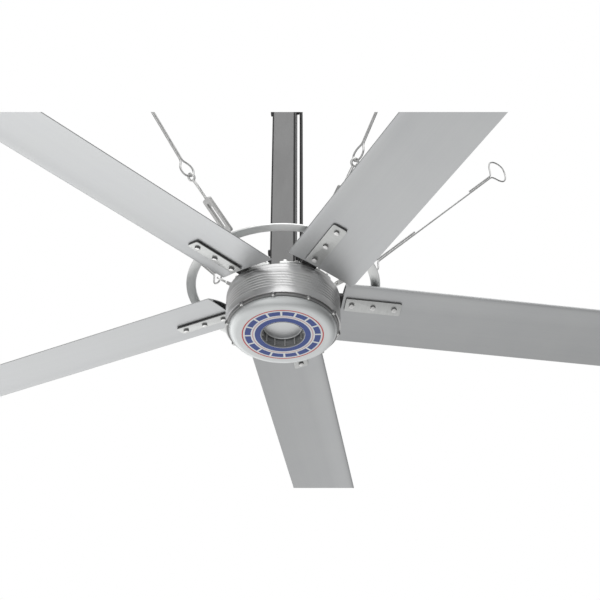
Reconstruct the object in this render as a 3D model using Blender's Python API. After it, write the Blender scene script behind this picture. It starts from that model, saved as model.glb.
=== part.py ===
"""A high volume low speed ceiling fan: five hollow blades, a direct drive motor, a ring and four guy wires.

Heights named here are measured upwards from the flat face under the motor's bottom cap. The whole fan then
hangs from its ceiling plate, whose top face is the world's z = 0. All lengths are metres.
"""

import math

import bmesh
import bpy
from mathutils import Matrix, Vector

# General
gap = 0.0003
cut_overrun = 0.004
round_sides = 32
inner_sides = 24
bolt_sides = 8
hex_sides = 6
smooth_angle = math.radians(35)
straight_angle = math.radians(4)
merge_distance = gap / 10

# Motor housing
housing_radius = 0.150
shell_wall = 0.010
shell_length = 0.081
groove_count = 5
groove_spacing = 0.0107
groove_width = 0.0040
groove_depth = 0.0028
lowest_groove_height = 0.0214
cover_thickness = 0.0128
cover_edge_radius = 0.0050
cover_spigot = 0.0040
spigot_width = 0.0080

# Bottom cap with its recessed badge
cap_inset = 0.0095
cap_shoulder = 0.0220
cap_height = 0.0180
cap_wall = 0.0035
window_radius = 0.0570
shoulder_steps = 4
cup_depth = 0.0300
cup_wall = 0.0030
rib_count = 12
rib_depth = 0.0030
rib_width = 0.0024
disc_thickness = 0.0025
disc_rim_height = 0.0012

# Lower flange cover and its screws
flange_thickness = 0.0060
flange_inset = 0.0040
lobe_count = 10
lobe_radius = 0.0060
lobe_steps = 4
rim_steps = 3
screw_inset = 0.0045
screw_head_radius = 0.0040
screw_head_height = 0.0026
screw_radius = 0.0020
screw_length = 0.0090
collar_radius = 0.0640
collar_wall = 0.0035
web_thickness = 0.0040
first_lobe_angle = math.radians(-0.4)

# Bearings and shaft
shaft_radius = 0.0200
bearing_wall = 0.0110
bearing_height = 0.0140
race_width = 0.0035
shield_depth = 0.0015
seat_wall = 0.0050
shaft_flange_radius = 0.0600
shaft_flange_thickness = 0.0080
shaft_flange_rise = 0.0180

# Stator and magnets
magnet_thickness = 0.0097
stator_height = 0.0360
air_gap = 0.0015
slot_count = 9
slot_length = 0.0330
stator_rim = 0.0105
slot_width = 0.0120
winding_overhang = 0.0110
winding_spread = 0.0020
magnet_overhang = 0.0030

# Blade arms
arm_count = 5
arm_width = 0.0400
arm_inset = 0.0550
arm_reach = 0.1620
arm_flange_thickness = 0.0080
arm_flange_inset = 0.0030
arm_flange_width = 0.0730
arm_flange_half_angle = math.radians(31)
arm_flange_steps = 5
arm_rise = 0.0090
stud_inset = 0.0115
stud_angles = (math.radians(-25), math.radians(-13), math.radians(13), math.radians(25))
stud_radius = 0.0040
stud_end = 0.0025

# Blades
blade_turn = math.radians(8.41)
blade_root_margin = 0.0080
fan_radius = 1.5000
blade_pitch = math.radians(14.85)
blade_lead = 0.0657
blade_chord = 0.1912
blade_chord_drop = 0.0055
blade_thickness = 0.0220
blade_camber = 0.0115
camber_place_share = 0.35
wing_shares = (1.4845, -0.6300, -1.7580, 1.4215, -0.5180)
wing_powers = (0.5, 1, 2, 3, 4)
tail_edge = 0.0025
blade_wall = 0.0020
section_steps = 11
nose_cavity_share = 0.050
tail_cavity_share = 0.860
cavity_steps = 5

# Tip caps
tip_thickness = 0.0040
tip_margin = 0.0012
tip_plug_length = 0.0300

# Blade clamps
clamp_setback = 0.0080
clamp_length = 0.1520
clamp_width = 0.0400
clamp_thickness = 0.0045
clamp_corner = 0.0060
clamp_bolt_inset = 0.0170
clamp_bolt_spacing = 0.0580
clamp_bolt_count = 3
clamp_bolt_radius = 0.0040
bolt_head_radius = 0.0073
bolt_head_height = 0.0055
nut_height = 0.0065
bolt_stub = 0.0030

# Safety ring
ring_setback = 0.0659
ring_width = 0.0254
ring_thickness = 0.0050
ring_rise = 0.0256
ring_sides = 40
spacer_radius = 0.0090
ring_nut_lift = 0.0025

# Downrod, upper stem and motor yoke
drop_length = 1.2000
rod_half = 0.0340
rod_wall = 0.0040
rod_corner = 0.0060
rod_turn = math.radians(-6.5)
corner_steps = 2
yoke_flange_radius = 0.0750
yoke_flange_thickness = 0.0100
yoke_stem_length = 0.1360
yoke_bolt_circle = 0.0450
yoke_bolt_count = 4
foot_bolt_heights = (0.2520, 0.2790)
cross_bolt_radius = 0.0050
cross_head_radius = 0.0095
cross_head_height = 0.0065
washer_margin = 0.0015
washer_thickness = 0.0016
stem_reach = 0.3400
stem_overlap = 0.0900
stem_top_margin = 0.0250
adjust_bolt_drop = 0.0340

# Ceiling yoke and plate
ceiling_plate_half = 0.1100
ceiling_plate_thickness = 0.0120
ceiling_hole_radius = 0.0065
ceiling_hole_offset = 0.0850
yoke_plate_half = 0.0550
yoke_plate_thickness = 0.0100
ear_thickness = 0.0100
ear_half_width = 0.0300
ear_length = 0.1020
pivot_radius = 0.0080
pivot_head_radius = 0.0130
pivot_head_height = 0.0100

# Guy bracket, turnbuckles and eye rods
guy_count = 4
guy_turn = math.radians(43.1)
guy_plate_half = 0.0720
guy_plate_thickness = 0.0060
guy_anchor_radius = 0.0894
guy_angle = math.radians(44.45)
gusset_thickness = 0.0080
gusset_inner_radius = 0.0660
gusset_outer_radius = 0.0990
gusset_lean = 0.0090
gusset_rise = 0.0220
guy_stud_radius = 0.0040
guy_stud_start = 0.0040
body_start = 0.1253
body_length = 0.1100
body_width = 0.0270
body_thickness = 0.0100
body_slot_width = 0.0110
body_end = 0.0140
body_bevel = 0.0020
stud_collar_radius = 0.0047
stud_collar_length = 0.0060
eye_place = 0.3054
eye_ring_radius = 0.0099
eye_wire_radius = 0.0034
eye_ring_sides = 14
eye_tube_sides = 6
eye_rod_length = 0.0850

# Guy wires. Each route's points are along and above the line of the wire.
wire_angle = math.radians(50.12)
wire_radius = 0.0020
wire_resolution = 2
curve_steps = 2
wire_route = (
    (0.3070, 0.0030),
    (0.1900, 0.0030),
    (0.0700, 0.0030),
    (0.0590, 0.0031),
    (0.0510, 0.0050),
    (0.0445, 0.0105),
    (0.0370, 0.0168),
    (0.0270, 0.0205),
    (0.0160, 0.0195),
    (0.0070, 0.0120),
    (0.0034, 0.0000),
    (0.0070, -0.0120),
    (0.0160, -0.0195),
    (0.0270, -0.0205),
    (0.0370, -0.0168),
    (0.0445, -0.0105),
    (0.0510, -0.0050),
    (0.0590, -0.0031),
    (0.0700, -0.0030),
    (0.2300, -0.0030),
    (0.3900, -0.0030),
    (0.5600, -0.0030),
    (0.7300, -0.0030),
    (0.8900, -0.0030),
    (0.9080, -0.0032),
    (0.9190, -0.0068),
    (0.9290, -0.0150),
    (0.9440, -0.0300),
    (0.9660, -0.0400),
    (0.9900, -0.0350),
    (1.0090, -0.0180),
    (1.0160, 0.0000),
    (1.0090, 0.0180),
    (0.9900, 0.0350),
    (0.9660, 0.0400),
    (0.9440, 0.0300),
    (0.9290, 0.0150),
    (0.9190, 0.0068),
    (0.9080, 0.0032),
    (0.8900, 0.0030),
    (0.8100, 0.0030),
    (0.7320, 0.0030),
)

# Power cable in the downrod's frame, its gland, clips and box
cable_radius = 0.0047
cable_resolution = 3
cable_side = 0.0462
cable_back = 0.0200
gland_radius = 0.0105
gland_nut_height = 0.0080
gland_height = 0.0194
gland_neck_radius = 0.0065
gland_shoulder = 0.0010
clip_height = 0.0120
clip_lift = 0.0544
clip_rise = 0.0450
clip_margin = 0.0075
box_length = 0.0800
box_width = 0.0480
box_height = 0.0450
box_bevel = 0.0040
box_gland_radius = 0.0085
box_gland_height = 0.0100
box_offset = 0.0845
straight_steps = 4
bend_rise = 0.0900
bend_shares = (
    (0.000, 0.000),
    (0.220, 0.047),
    (0.440, 0.295),
    (0.640, 0.713),
    (0.820, 0.961),
    (0.920, 1.000),
    (1.000, 1.000),
)

# Radii that follow from the housing's
cap_radius = housing_radius - cap_inset
cap_flat_radius = cap_radius - cap_shoulder
flange_radius = housing_radius - flange_inset
screw_circle = housing_radius - screw_inset
magnet_outer_radius = housing_radius - shell_wall - gap
magnet_inner_radius = magnet_outer_radius - magnet_thickness
stator_radius = magnet_inner_radius - air_gap
slot_outer_radius = stator_radius - stator_rim
slot_inner_radius = slot_outer_radius - slot_length
arm_inner_radius = housing_radius - arm_inset
arm_outer_radius = housing_radius + arm_reach
arm_flange_outer_radius = housing_radius - arm_flange_inset
arm_flange_inner_radius = arm_flange_outer_radius - arm_flange_width
stud_circle = housing_radius - stud_inset
blade_root_radius = housing_radius + blade_root_margin
clamp_inner_radius = blade_root_radius + clamp_setback
clamp_bolt_start = clamp_inner_radius + clamp_bolt_inset
ring_inner_radius = clamp_inner_radius + ring_setback
ring_outer_radius = ring_inner_radius + ring_width

# Heights that follow from the sizes above
flange_bottom = cap_height + gap
flange_top = flange_bottom + flange_thickness
shell_bottom = flange_top + gap
shell_top = shell_bottom + shell_length
cover_bottom = shell_top + gap
cover_top = cover_bottom + cover_thickness
arm_flange_bottom = cover_top + gap
pitch_axis_height = cover_top + arm_rise
shaft_flange_bottom = pitch_axis_height + shaft_flange_rise
yoke_bottom = shaft_flange_bottom + shaft_flange_thickness + gap
yoke_top = yoke_bottom + yoke_flange_thickness
guy_plate_bottom = yoke_top + gap
guy_plate_top = guy_plate_bottom + guy_plate_thickness
rod_bottom = guy_plate_top + gap
ceiling_plate_bottom = drop_length - ceiling_plate_thickness
yoke_plate_top = ceiling_plate_bottom - gap
yoke_plate_bottom = yoke_plate_top - yoke_plate_thickness
pivot_height = yoke_plate_bottom - ear_length + ear_half_width
rod_top_height = drop_length - stem_reach
adjust_bolt_height = rod_top_height - adjust_bolt_drop
stem_bottom_height = rod_top_height - stem_overlap
stem_top_height = pivot_height + stem_top_margin
ring_bottom = pitch_axis_height + ring_rise
web_bottom = cup_depth + cap_wall + web_thickness
lower_bearing_bottom = web_bottom + web_thickness + gap
stator_bottom = lower_bearing_bottom + bearing_height + gap
bearing_radius = shaft_radius + gap + bearing_wall
stem_half = rod_half - rod_wall - gap


# Finishes
def finish(name, colour, roughness, metallic):
    """A plain surface of one colour."""
    made = bpy.data.materials.new(name)
    made.use_nodes = True
    shader = made.node_tree.nodes["Principled BSDF"]
    shader.inputs["Base Color"].default_value = (*colour, 1.0)
    shader.inputs["Roughness"].default_value = roughness
    shader.inputs["Metallic"].default_value = metallic
    return made


def finishes():
    return {
        "brushed": finish("brushed_aluminium", (0.55, 0.56, 0.56), 0.35, 1.0),
        "blade": finish("anodised_aluminium", (0.60, 0.61, 0.62), 0.45, 1.0),
        "cap": finish("silver_paint", (0.62, 0.64, 0.63), 0.40, 0.4),
        "steel": finish("zinc_steel", (0.58, 0.58, 0.57), 0.30, 1.0),
        "rod": finish("grey_paint", (0.28, 0.28, 0.28), 0.50, 0.2),
        "dark": finish("dark_steel", (0.05, 0.05, 0.05), 0.45, 0.6),
        "black": finish("black_plastic", (0.02, 0.02, 0.02), 0.50, 0.0),
        "copper": finish("copper_wire", (0.60, 0.27, 0.14), 0.35, 1.0),
        "magnet": finish("magnet", (0.12, 0.12, 0.13), 0.40, 0.8),
        "rope": finish("wire_rope", (0.50, 0.50, 0.50), 0.40, 1.0),
    }


# Shapes
def mesh_of(bm, name):
    """Turns the faces outwards and hands the shape over as a mesh."""
    bmesh.ops.recalc_face_normals(bm, faces=bm.faces)
    mesh = bpy.data.meshes.new(name)
    bm.to_mesh(mesh)
    bm.free()
    return mesh


def turned(profile, sides=round_sides):
    """A closed outline of (radius, height) points spun about the Z axis."""
    bm = bmesh.new()
    points = [bm.verts.new((radius, 0.0, height)) for radius, height in profile]
    edges = [bm.edges.new((a, b)) for a, b in zip(points, points[1:] + points[:1])]
    bmesh.ops.spin(
        bm,
        geom=points + edges,
        cent=(0, 0, 0),
        axis=(0, 0, 1),
        angle=math.tau,
        steps=sides,
        use_merge=True,
    )
    bmesh.ops.remove_doubles(bm, verts=bm.verts, dist=merge_distance)
    bmesh.ops.dissolve_degenerate(bm, edges=bm.edges, dist=merge_distance)
    return mesh_of(bm, "turned")


def extruded(outlines, low, high):
    """A flat outline, with any holes as further outlines, raised from one height to another."""
    bm = bmesh.new()
    edges = []
    for outline in outlines:
        points = [bm.verts.new((x, y, low)) for x, y in outline]
        edges += [bm.edges.new((a, b)) for a, b in zip(points, points[1:] + points[:1])]
    bmesh.ops.triangle_fill(bm, use_beauty=True, use_dissolve=False, edges=edges)
    raised = bmesh.ops.extrude_face_region(bm, geom=bm.faces[:])
    moving = [v for v in raised["geom"] if isinstance(v, bmesh.types.BMVert)]
    bmesh.ops.translate(bm, verts=moving, vec=(0, 0, high - low))
    return mesh_of(bm, "extruded")


def cylinder(radius, low, high, sides=bolt_sides):
    bm = bmesh.new()
    place = Matrix.Translation((0, 0, (low + high) / 2))
    bmesh.ops.create_cone(
        bm,
        cap_ends=True,
        segments=sides,
        radius1=radius,
        radius2=radius,
        depth=high - low,
        matrix=place,
    )
    return mesh_of(bm, "cylinder")


def block(low, high):
    """A box between two corners."""
    bm = bmesh.new()
    size = [b - a for a, b in zip(low, high)]
    centre = [(a + b) / 2 for a, b in zip(low, high)]
    place = Matrix.Translation(centre) @ Matrix.Diagonal((*size, 1))
    bmesh.ops.create_cube(bm, size=1, matrix=place)
    return mesh_of(bm, "block")


def bevelled(mesh, width, segments=1):
    bm = bmesh.new()
    bm.from_mesh(mesh)
    sharp = [e for e in bm.edges if e.calc_face_angle(0) > smooth_angle]
    bmesh.ops.bevel(bm, geom=sharp, offset=width, segments=segments, affect="EDGES")
    return mesh_of(bm, mesh.name)


def torus(radius, tube_radius, sides, tube_sides):
    circle = ring_points(tube_radius, tube_sides)
    return turned([(radius + x, z) for x, z in circle], sides)


def moved(mesh, matrix):
    """A copy of a mesh in another place."""
    copy = mesh.copy()
    copy.transform(matrix)
    return copy


def together(meshes):
    """Several meshes as one, each piece still apart from the others."""
    bm = bmesh.new()
    for mesh in meshes:
        bm.from_mesh(mesh)
    return mesh_of(bm, "together")


def boolean(base, tool, operation):
    """One mesh joined to another, or cut by it."""
    scene = bpy.context.scene.collection
    target = bpy.data.objects.new("target", base)
    other = bpy.data.objects.new("tool", tool)
    scene.objects.link(target)
    scene.objects.link(other)
    modifier = target.modifiers.new("boolean", "BOOLEAN")
    modifier.operation = operation
    modifier.solver = "EXACT"
    modifier.object = other
    graph = bpy.context.evaluated_depsgraph_get()
    made = bpy.data.meshes.new_from_object(target.evaluated_get(graph))
    bpy.data.objects.remove(target)
    bpy.data.objects.remove(other)
    return made


def united(base, *tools):
    for tool in tools:
        base = boolean(base, tool, "UNION")
    return base


def cut(base, *tools):
    for tool in tools:
        base = boolean(base, tool, "DIFFERENCE")
    return base


def ring_points(radius, sides, start=0.0):
    """Points evenly round a circle."""
    turns = [start + math.tau * i / sides for i in range(sides)]
    return [(radius * math.cos(t), radius * math.sin(t)) for t in turns]


def arc_points(centre, radius, start, end, steps):
    turns = [start + (end - start) * i / steps for i in range(steps + 1)]
    return [(centre[0] + radius * math.cos(t), centre[1] + radius * math.sin(t)) for t in turns]


def square_points(half, corner):
    """A square with rounded corners, anticlockwise."""
    inner = half - corner
    points = []
    for quarter, (x, y) in enumerate(((1, 1), (-1, 1), (-1, -1), (1, -1))):
        start = quarter * math.pi / 2
        points += arc_points((x * inner, y * inner), corner, start, start + math.pi / 2, corner_steps)
    return points


def hole(radius, sides=hex_sides):
    """The radius of a faceted hole that clears a round pin of this radius by the gap."""
    return (radius + gap) / math.cos(math.pi / sides)


def turn(axis, angle):
    return Matrix.Rotation(angle, 4, axis)


def around(count, start=0.0):
    """Turns about Z that place a number of copies evenly."""
    return [turn("Z", start + math.tau * i / count) for i in range(count)]


def on_circle(mesh, radius, count, start=0.0):
    """Copies of a mesh set evenly round a circle."""
    outwards = Matrix.Translation((radius, 0, 0))
    return together([moved(mesh, place @ outwards) for place in around(count, start)])


def smooth_route(points):
    """A smooth curve through chosen points, with none added along its straight stretches.

    The slope at a point weighs its two neighbours by the square root of their distance, so that the curve
    turns evenly where the points lie unevenly.
    """
    ends = [2 * points[0] - points[1], *points, 2 * points[-1] - points[-2]]
    made = []
    for a, b, c, d in zip(ends, ends[1:], ends[2:], ends[3:]):
        before, here, after = (math.sqrt((q - p).length) for p, q in ((a, b), (b, c), (c, d)))
        start = c - b + here * ((b - a) / before - (c - a) / (before + here))
        end = c - b + here * ((d - c) / after - (d - b) / (here + after))
        straight = max((b - a).angle(c - b), (c - b).angle(d - c)) < straight_angle
        steps = 1 if straight else curve_steps
        for i in range(steps):
            t = i / steps
            share = t**2 * (3 - 2 * t)
            made.append(b + (c - b) * share + start * t * (1 - t) ** 2 - end * t**2 * (1 - t))
    return [*made, points[-1]]


# Objects
def empty(name, parent=None, location=(0, 0, 0), rotation=(0, 0, 0)):
    made = bpy.data.objects.new(name, None)
    bpy.context.scene.collection.objects.link(made)
    made.parent = parent
    made.location = location
    made.rotation_euler = rotation
    return made


def piece(name, mesh, surface, parent, location=(0, 0, 0), rotation=(0, 0, 0)):
    """Names a mesh as one sub-part, finishes it and puts it on what carries it."""
    made = bpy.data.objects.new(name, mesh)
    bpy.context.scene.collection.objects.link(made)
    if not mesh.materials:
        mesh.materials.append(surface)
        mesh.shade_smooth()
        mesh.set_sharp_from_angle(angle=smooth_angle)
    made.parent = parent
    made.location = location
    made.rotation_euler = rotation
    return made


def tube(name, points, radius, resolution, surface, parent):
    """A round cord along a list of points, with closed ends."""
    curve = bpy.data.curves.new(name, "CURVE")
    curve.dimensions = "3D"
    curve.bevel_depth = radius
    curve.bevel_resolution = resolution
    curve.use_fill_caps = True
    spline = curve.splines.new("POLY")
    spline.points.add(len(points) - 1)
    for place, point in zip(spline.points, points):
        place.co = (*point, 1)
    curve.materials.append(surface)
    made = bpy.data.objects.new(name, curve)
    bpy.context.scene.collection.objects.link(made)
    made.parent = parent
    return made


# Blade section, in the pitched frame: Y runs from the leading edge to the trailing edge
def camber_at(share):
    """The height of the camber line over the chord, two parabolas that meet at its highest place."""
    p = camber_place_share
    if share < p:
        return blade_camber / p**2 * (2 * p * share - share**2)
    return blade_camber / (1 - p) ** 2 * (1 - 2 * p + 2 * p * share - share**2)


def half_thickness_at(share):
    """Half the thickness of a wing section, with a blunt trailing edge."""
    wing = sum(term * share**power for term, power in zip(wing_shares, wing_powers))
    return blade_thickness * wing + tail_edge / 2 * share


def blade_y(share):
    return share * blade_chord - blade_lead


def surface_z(y, side):
    """The height of the blade's outer skin: side is 1 on top and -1 underneath."""
    share = min(max((y + blade_lead) / blade_chord, 0.0), 1.0)
    return camber_at(share) + side * half_thickness_at(share) - blade_chord_drop


def section_points(margin=0.0):
    """The blade's outline, anticlockwise from the trailing edge over the top, grown by a margin."""
    shares = [(1 - math.cos(math.pi * i / section_steps)) / 2 for i in range(section_steps + 1)]
    top = [(blade_y(s), surface_z(blade_y(s), 1) + margin) for s in reversed(shares[1:])]
    bottom = [(blade_y(s), surface_z(blade_y(s), -1) - margin) for s in shares[1:]]
    nose = (blade_y(0.0) - margin, surface_z(blade_y(0.0), 1))
    tail = [(y + margin, z) for y, z in (top.pop(0), bottom.pop())]
    return [tail[0], *top, nose, *bottom, tail[1]]


channel_half = arm_width / 2 + gap
clamp_half = clamp_width / 2
across = [channel_half * (2 * i / cavity_steps - 1) for i in range(cavity_steps + 1)]
under_clamp = [clamp_half * (2 * i / cavity_steps - 1) for i in range(cavity_steps + 1)]
channel_floor = max(surface_z(y, -1) for y in across) + blade_wall
channel_ceiling = min(surface_z(y, 1) for y in across) - blade_wall
arm_bottom = channel_floor + gap
arm_top = channel_ceiling - gap
clamp_top = min(surface_z(y, -1) for y in under_clamp) - gap
clamp_bottom = clamp_top - clamp_thickness
skin_top = max(surface_z(y, 1) for y in across) + gap
blade_length = fan_radius - tip_thickness - gap - blade_root_radius


def cavity_points(low_y, high_y):
    """A hollow of the blade that follows the skins at the wall's thickness."""
    places = [low_y + (high_y - low_y) * i / cavity_steps for i in range(cavity_steps + 1)]
    top = [(y, surface_z(y, 1) - blade_wall) for y in reversed(places)]
    bottom = [(y, surface_z(y, -1) + blade_wall) for y in places]
    return top + bottom


def channel_points(margin=0.0):
    half, low, high = channel_half - margin, channel_floor + margin, channel_ceiling - margin
    return [(half, high), (-half, high), (-half, low), (half, low)]


def bolt_places():
    return [clamp_bolt_start + clamp_bolt_spacing * i for i in range(clamp_bolt_count)]


def bolt_drills(low, high):
    drill = cylinder(hole(clamp_bolt_radius), low, high, hex_sides)
    return together([moved(drill, Matrix.Translation((x, 0, 0))) for x in bolt_places()])


def along_blade(mesh, start):
    """Turns a section raised along Z so that it runs outwards along X."""
    return moved(mesh, Matrix.Translation((start, 0, 0)) @ turn("Z", math.pi / 2) @ turn("X", math.pi / 2))


# Turning side
def housing_shell():
    outline = [(housing_radius - shell_wall, shell_bottom), (housing_radius, shell_bottom)]
    for i in range(groove_count):
        middle = shell_bottom + lowest_groove_height + groove_spacing * i
        outline += [
            (housing_radius, middle - groove_width / 2),
            (housing_radius - groove_depth, middle),
            (housing_radius, middle + groove_width / 2),
        ]
    outline += [(housing_radius, shell_top), (housing_radius - shell_wall, shell_top)]
    drill_top = shell_bottom + screw_length + gap
    drill = cylinder(hole(screw_radius), shell_bottom - cut_overrun, drill_top, hex_sides)
    return cut(turned(outline), on_circle(drill, screw_circle, lobe_count, first_lobe_angle))


def top_cover():
    """The lid that carries the arms, with the studs and nuts that hold their flanges."""
    seat = bearing_radius + gap
    spigot = housing_radius - shell_wall - gap
    edge_centre = (housing_radius - cover_edge_radius, cover_top - cover_edge_radius)
    edge = arc_points(edge_centre, cover_edge_radius, 0, math.pi / 2, corner_steps)
    outline = [
        (seat, cover_bottom),
        (spigot - spigot_width, cover_bottom),
        (spigot - spigot_width, cover_bottom - cover_spigot),
        (spigot, cover_bottom - cover_spigot),
        (spigot, cover_bottom),
        (housing_radius, cover_bottom),
        *edge,
        (seat, cover_top),
    ]
    flange_top_height = arm_flange_bottom + arm_flange_thickness
    nut_bottom = flange_top_height + gap
    stud = united(
        cylinder(stud_radius, cover_top - cover_thickness / 2, nut_bottom + nut_height / 2, hex_sides),
        cylinder(bolt_head_radius, nut_bottom, nut_bottom + nut_height, hex_sides),
    )
    studs = [on_circle(stud, stud_circle, arm_count, angle) for angle in stud_angles]
    return united(turned(outline), together(studs))


def flange_cover():
    """The lobed plate under the shell, its ten screws and the seat of the lower bearing."""
    lobe_angle = math.tau / lobe_count
    points = []
    squares = screw_circle**2 + flange_radius**2 - lobe_radius**2
    reach = math.acos(squares / (2 * screw_circle * flange_radius))
    for i in range(lobe_count):
        middle = first_lobe_angle + lobe_angle * i
        centre = (screw_circle * math.cos(middle), screw_circle * math.sin(middle))
        edge = Vector((flange_radius * math.cos(reach) - screw_circle, flange_radius * math.sin(reach)))
        half = math.atan2(edge.y, edge.x)
        points += arc_points(centre, lobe_radius, middle - half, middle + half, lobe_steps)
        rim = arc_points((0, 0), flange_radius, middle + reach, middle + lobe_angle - reach, rim_steps)
        points += rim[1:-1]
    outlines = [points, ring_points(collar_radius - collar_wall, inner_sides)]
    plate = extruded(outlines, flange_bottom, flange_top)
    seat_radius = bearing_radius + gap
    seat_top = lower_bearing_bottom + bearing_height / 2
    collar = turned(
        [
            (collar_radius, flange_bottom + flange_thickness / 2),
            (collar_radius, web_bottom + web_thickness),
            (seat_radius + seat_wall, web_bottom + web_thickness),
            (seat_radius + seat_wall, seat_top),
            (seat_radius, seat_top),
            (seat_radius, lower_bearing_bottom - gap),
            (seat_radius - seat_wall, lower_bearing_bottom - gap),
            (seat_radius - seat_wall, web_bottom),
            (collar_radius - collar_wall, web_bottom),
            (collar_radius - collar_wall, flange_bottom + flange_thickness / 2),
        ],
        inner_sides,
    )
    head_top = flange_bottom + flange_thickness / 2
    screw = united(
        cylinder(screw_head_radius, flange_bottom - screw_head_height, head_top),
        cylinder(screw_radius, head_top - flange_thickness / 4, shell_bottom + screw_length, hex_sides),
    )
    return united(plate, collar, on_circle(screw, screw_circle, lobe_count, first_lobe_angle))


def bottom_cap():
    """A shallow cap whose edge is a quarter of an ellipse from the flat face up to the rim."""
    turns = [math.pi / 2 * i / shoulder_steps for i in range(shoulder_steps + 1)]
    reach = cap_radius - cap_flat_radius
    shoulder = [(cap_flat_radius + reach * math.sin(t), cap_height * (1 - math.cos(t))) for t in turns]
    inside = [(cap_radius - cap_wall, cap_height), (cap_flat_radius, cap_wall), (window_radius, cap_wall)]
    return turned([(window_radius, 0.0), *shoulder, *inside])


def badge_cup():
    """The ribbed well behind the cap's window, with a rim that rests on the cap's inside."""
    outside = window_radius - gap
    inside = outside - cup_wall
    rim_bottom = cap_wall + gap
    rim_top = rim_bottom + cup_wall
    well = turned(
        [
            (inside, gap),
            (outside, gap),
            (outside, rim_bottom),
            (outside + cup_wall, rim_bottom),
            (outside + cup_wall, rim_top),
            (outside, rim_top),
            (outside, cup_depth),
            (0.0, cup_depth),
            (0.0, cup_depth - cup_wall),
            (inside, cup_depth - cup_wall),
        ],
        inner_sides,
    )
    rib = block(
        (inside - rib_depth, -rib_width / 2, gap + cup_wall),
        (inside + cup_wall / 2, rib_width / 2, cup_depth - cup_wall / 2),
    )
    return united(well, together([moved(rib, t) for t in around(rib_count)]))


def badge_disc():
    radius = window_radius - gap - cup_wall - rib_depth - gap
    top = cup_depth - cup_wall - gap
    bottom = top - disc_thickness
    return turned(
        [
            (0.0, bottom),
            (radius - disc_thickness, bottom),
            (radius - disc_thickness, bottom - disc_rim_height),
            (radius, bottom - disc_rim_height),
            (radius, top),
            (0.0, top),
        ],
        inner_sides,
    )


def magnet_ring():
    inner, outer = magnet_inner_radius, magnet_outer_radius
    low, high = stator_bottom - magnet_overhang, stator_bottom + stator_height + magnet_overhang
    return turned([(inner, low), (outer, low), (outer, high), (inner, high)])


def bearing():
    """A ring bearing with its races and seals as one solid, its bottom at zero."""
    inner, outer = hole(shaft_radius, inner_sides), bearing_radius
    return turned(
        [
            (inner, 0.0),
            (inner + race_width, 0.0),
            (inner + race_width, shield_depth),
            (outer - race_width, shield_depth),
            (outer - race_width, 0.0),
            (outer, 0.0),
            (outer, bearing_height),
            (inner, bearing_height),
        ],
        inner_sides,
    )


def arm_flange():
    """The curved foot of an arm, level, in the rotor's frame with the arm along X."""
    half, steps = arm_flange_half_angle, arm_flange_steps
    outer = arc_points((0, 0), arm_flange_outer_radius, -half, half, steps)
    inner = arc_points((0, 0), arm_flange_inner_radius, half, -half, steps)
    places = [(stud_circle * math.cos(a), stud_circle * math.sin(a)) for a in stud_angles]
    holes = [[(x + u, y + v) for u, v in ring_points(hole(stud_radius), hex_sides)] for x, y in places]
    return extruded([outer + inner, *holes], arm_flange_bottom, arm_flange_bottom + arm_flange_thickness)


def arm():
    """One arm: its flange and its pitched bar with three bolt holes, in the pitched frame."""
    low = (arm_inner_radius, -arm_width / 2, arm_bottom)
    high = (arm_outer_radius, arm_width / 2, arm_top)
    to_pitched = turn("X", blade_pitch) @ Matrix.Translation((0, 0, -pitch_axis_height))
    made = united(block(low, high), moved(arm_flange(), to_pitched))
    floor = block(
        (0.0, -housing_radius, arm_flange_bottom - housing_radius),
        (housing_radius, housing_radius, arm_flange_bottom),
    )
    return cut(made, moved(floor, to_pitched), bolt_drills(arm_bottom - cut_overrun, arm_top + cut_overrun))


def blade():
    nose_start = blade_y(nose_cavity_share)
    web = channel_half + blade_wall
    outlines = [
        section_points(),
        cavity_points(nose_start, -web),
        channel_points(),
        cavity_points(web, blade_y(tail_cavity_share)),
    ]
    body = along_blade(extruded(outlines, 0.0, blade_length), blade_root_radius)
    return cut(body, bolt_drills(clamp_top - cut_overrun, skin_top + cut_overrun))


def tip_cap():
    start = fan_radius - tip_thickness
    plate = along_blade(extruded([section_points(tip_margin)], 0.0, tip_thickness), start)
    plug = extruded([channel_points(gap)], 0.0, tip_plug_length + tip_thickness / 2)
    return united(plate, along_blade(plug, start - tip_plug_length))


def blade_clamp():
    """The plate under the blade with its bolts, and their nuts on top of the blade."""
    low_x, high_x = clamp_inner_radius, clamp_inner_radius + clamp_length
    half, corner = clamp_half, clamp_corner
    outline = [
        (low_x, -half),
        (high_x - corner, -half),
        (high_x, corner - half),
        (high_x, half - corner),
        (high_x - corner, half),
        (low_x, half),
    ]
    tools = []
    middle = clamp_bolt_count // 2
    clamp_middle = (clamp_bottom + clamp_top) / 2
    ring_top_here = (ring_rise + ring_thickness) / math.cos(blade_pitch) + ring_nut_lift
    for i, x in enumerate(bolt_places()):
        nut_bottom = ring_top_here if i == middle else skin_top
        nut_top = nut_bottom + nut_height
        shapes = [
            (clamp_bolt_radius, clamp_bottom - bolt_head_height / 2, (nut_bottom + nut_top) / 2, hex_sides),
            (bolt_head_radius, clamp_bottom - bolt_head_height, clamp_middle, hex_sides),
            (bolt_head_radius, nut_bottom, nut_top, hex_sides),
        ]
        bolt = united(*(cylinder(*shape) for shape in shapes))
        tools.append(moved(bolt, Matrix.Translation((x, 0, 0))))
    return united(extruded([outline], clamp_bottom, clamp_top), together(tools))


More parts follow.
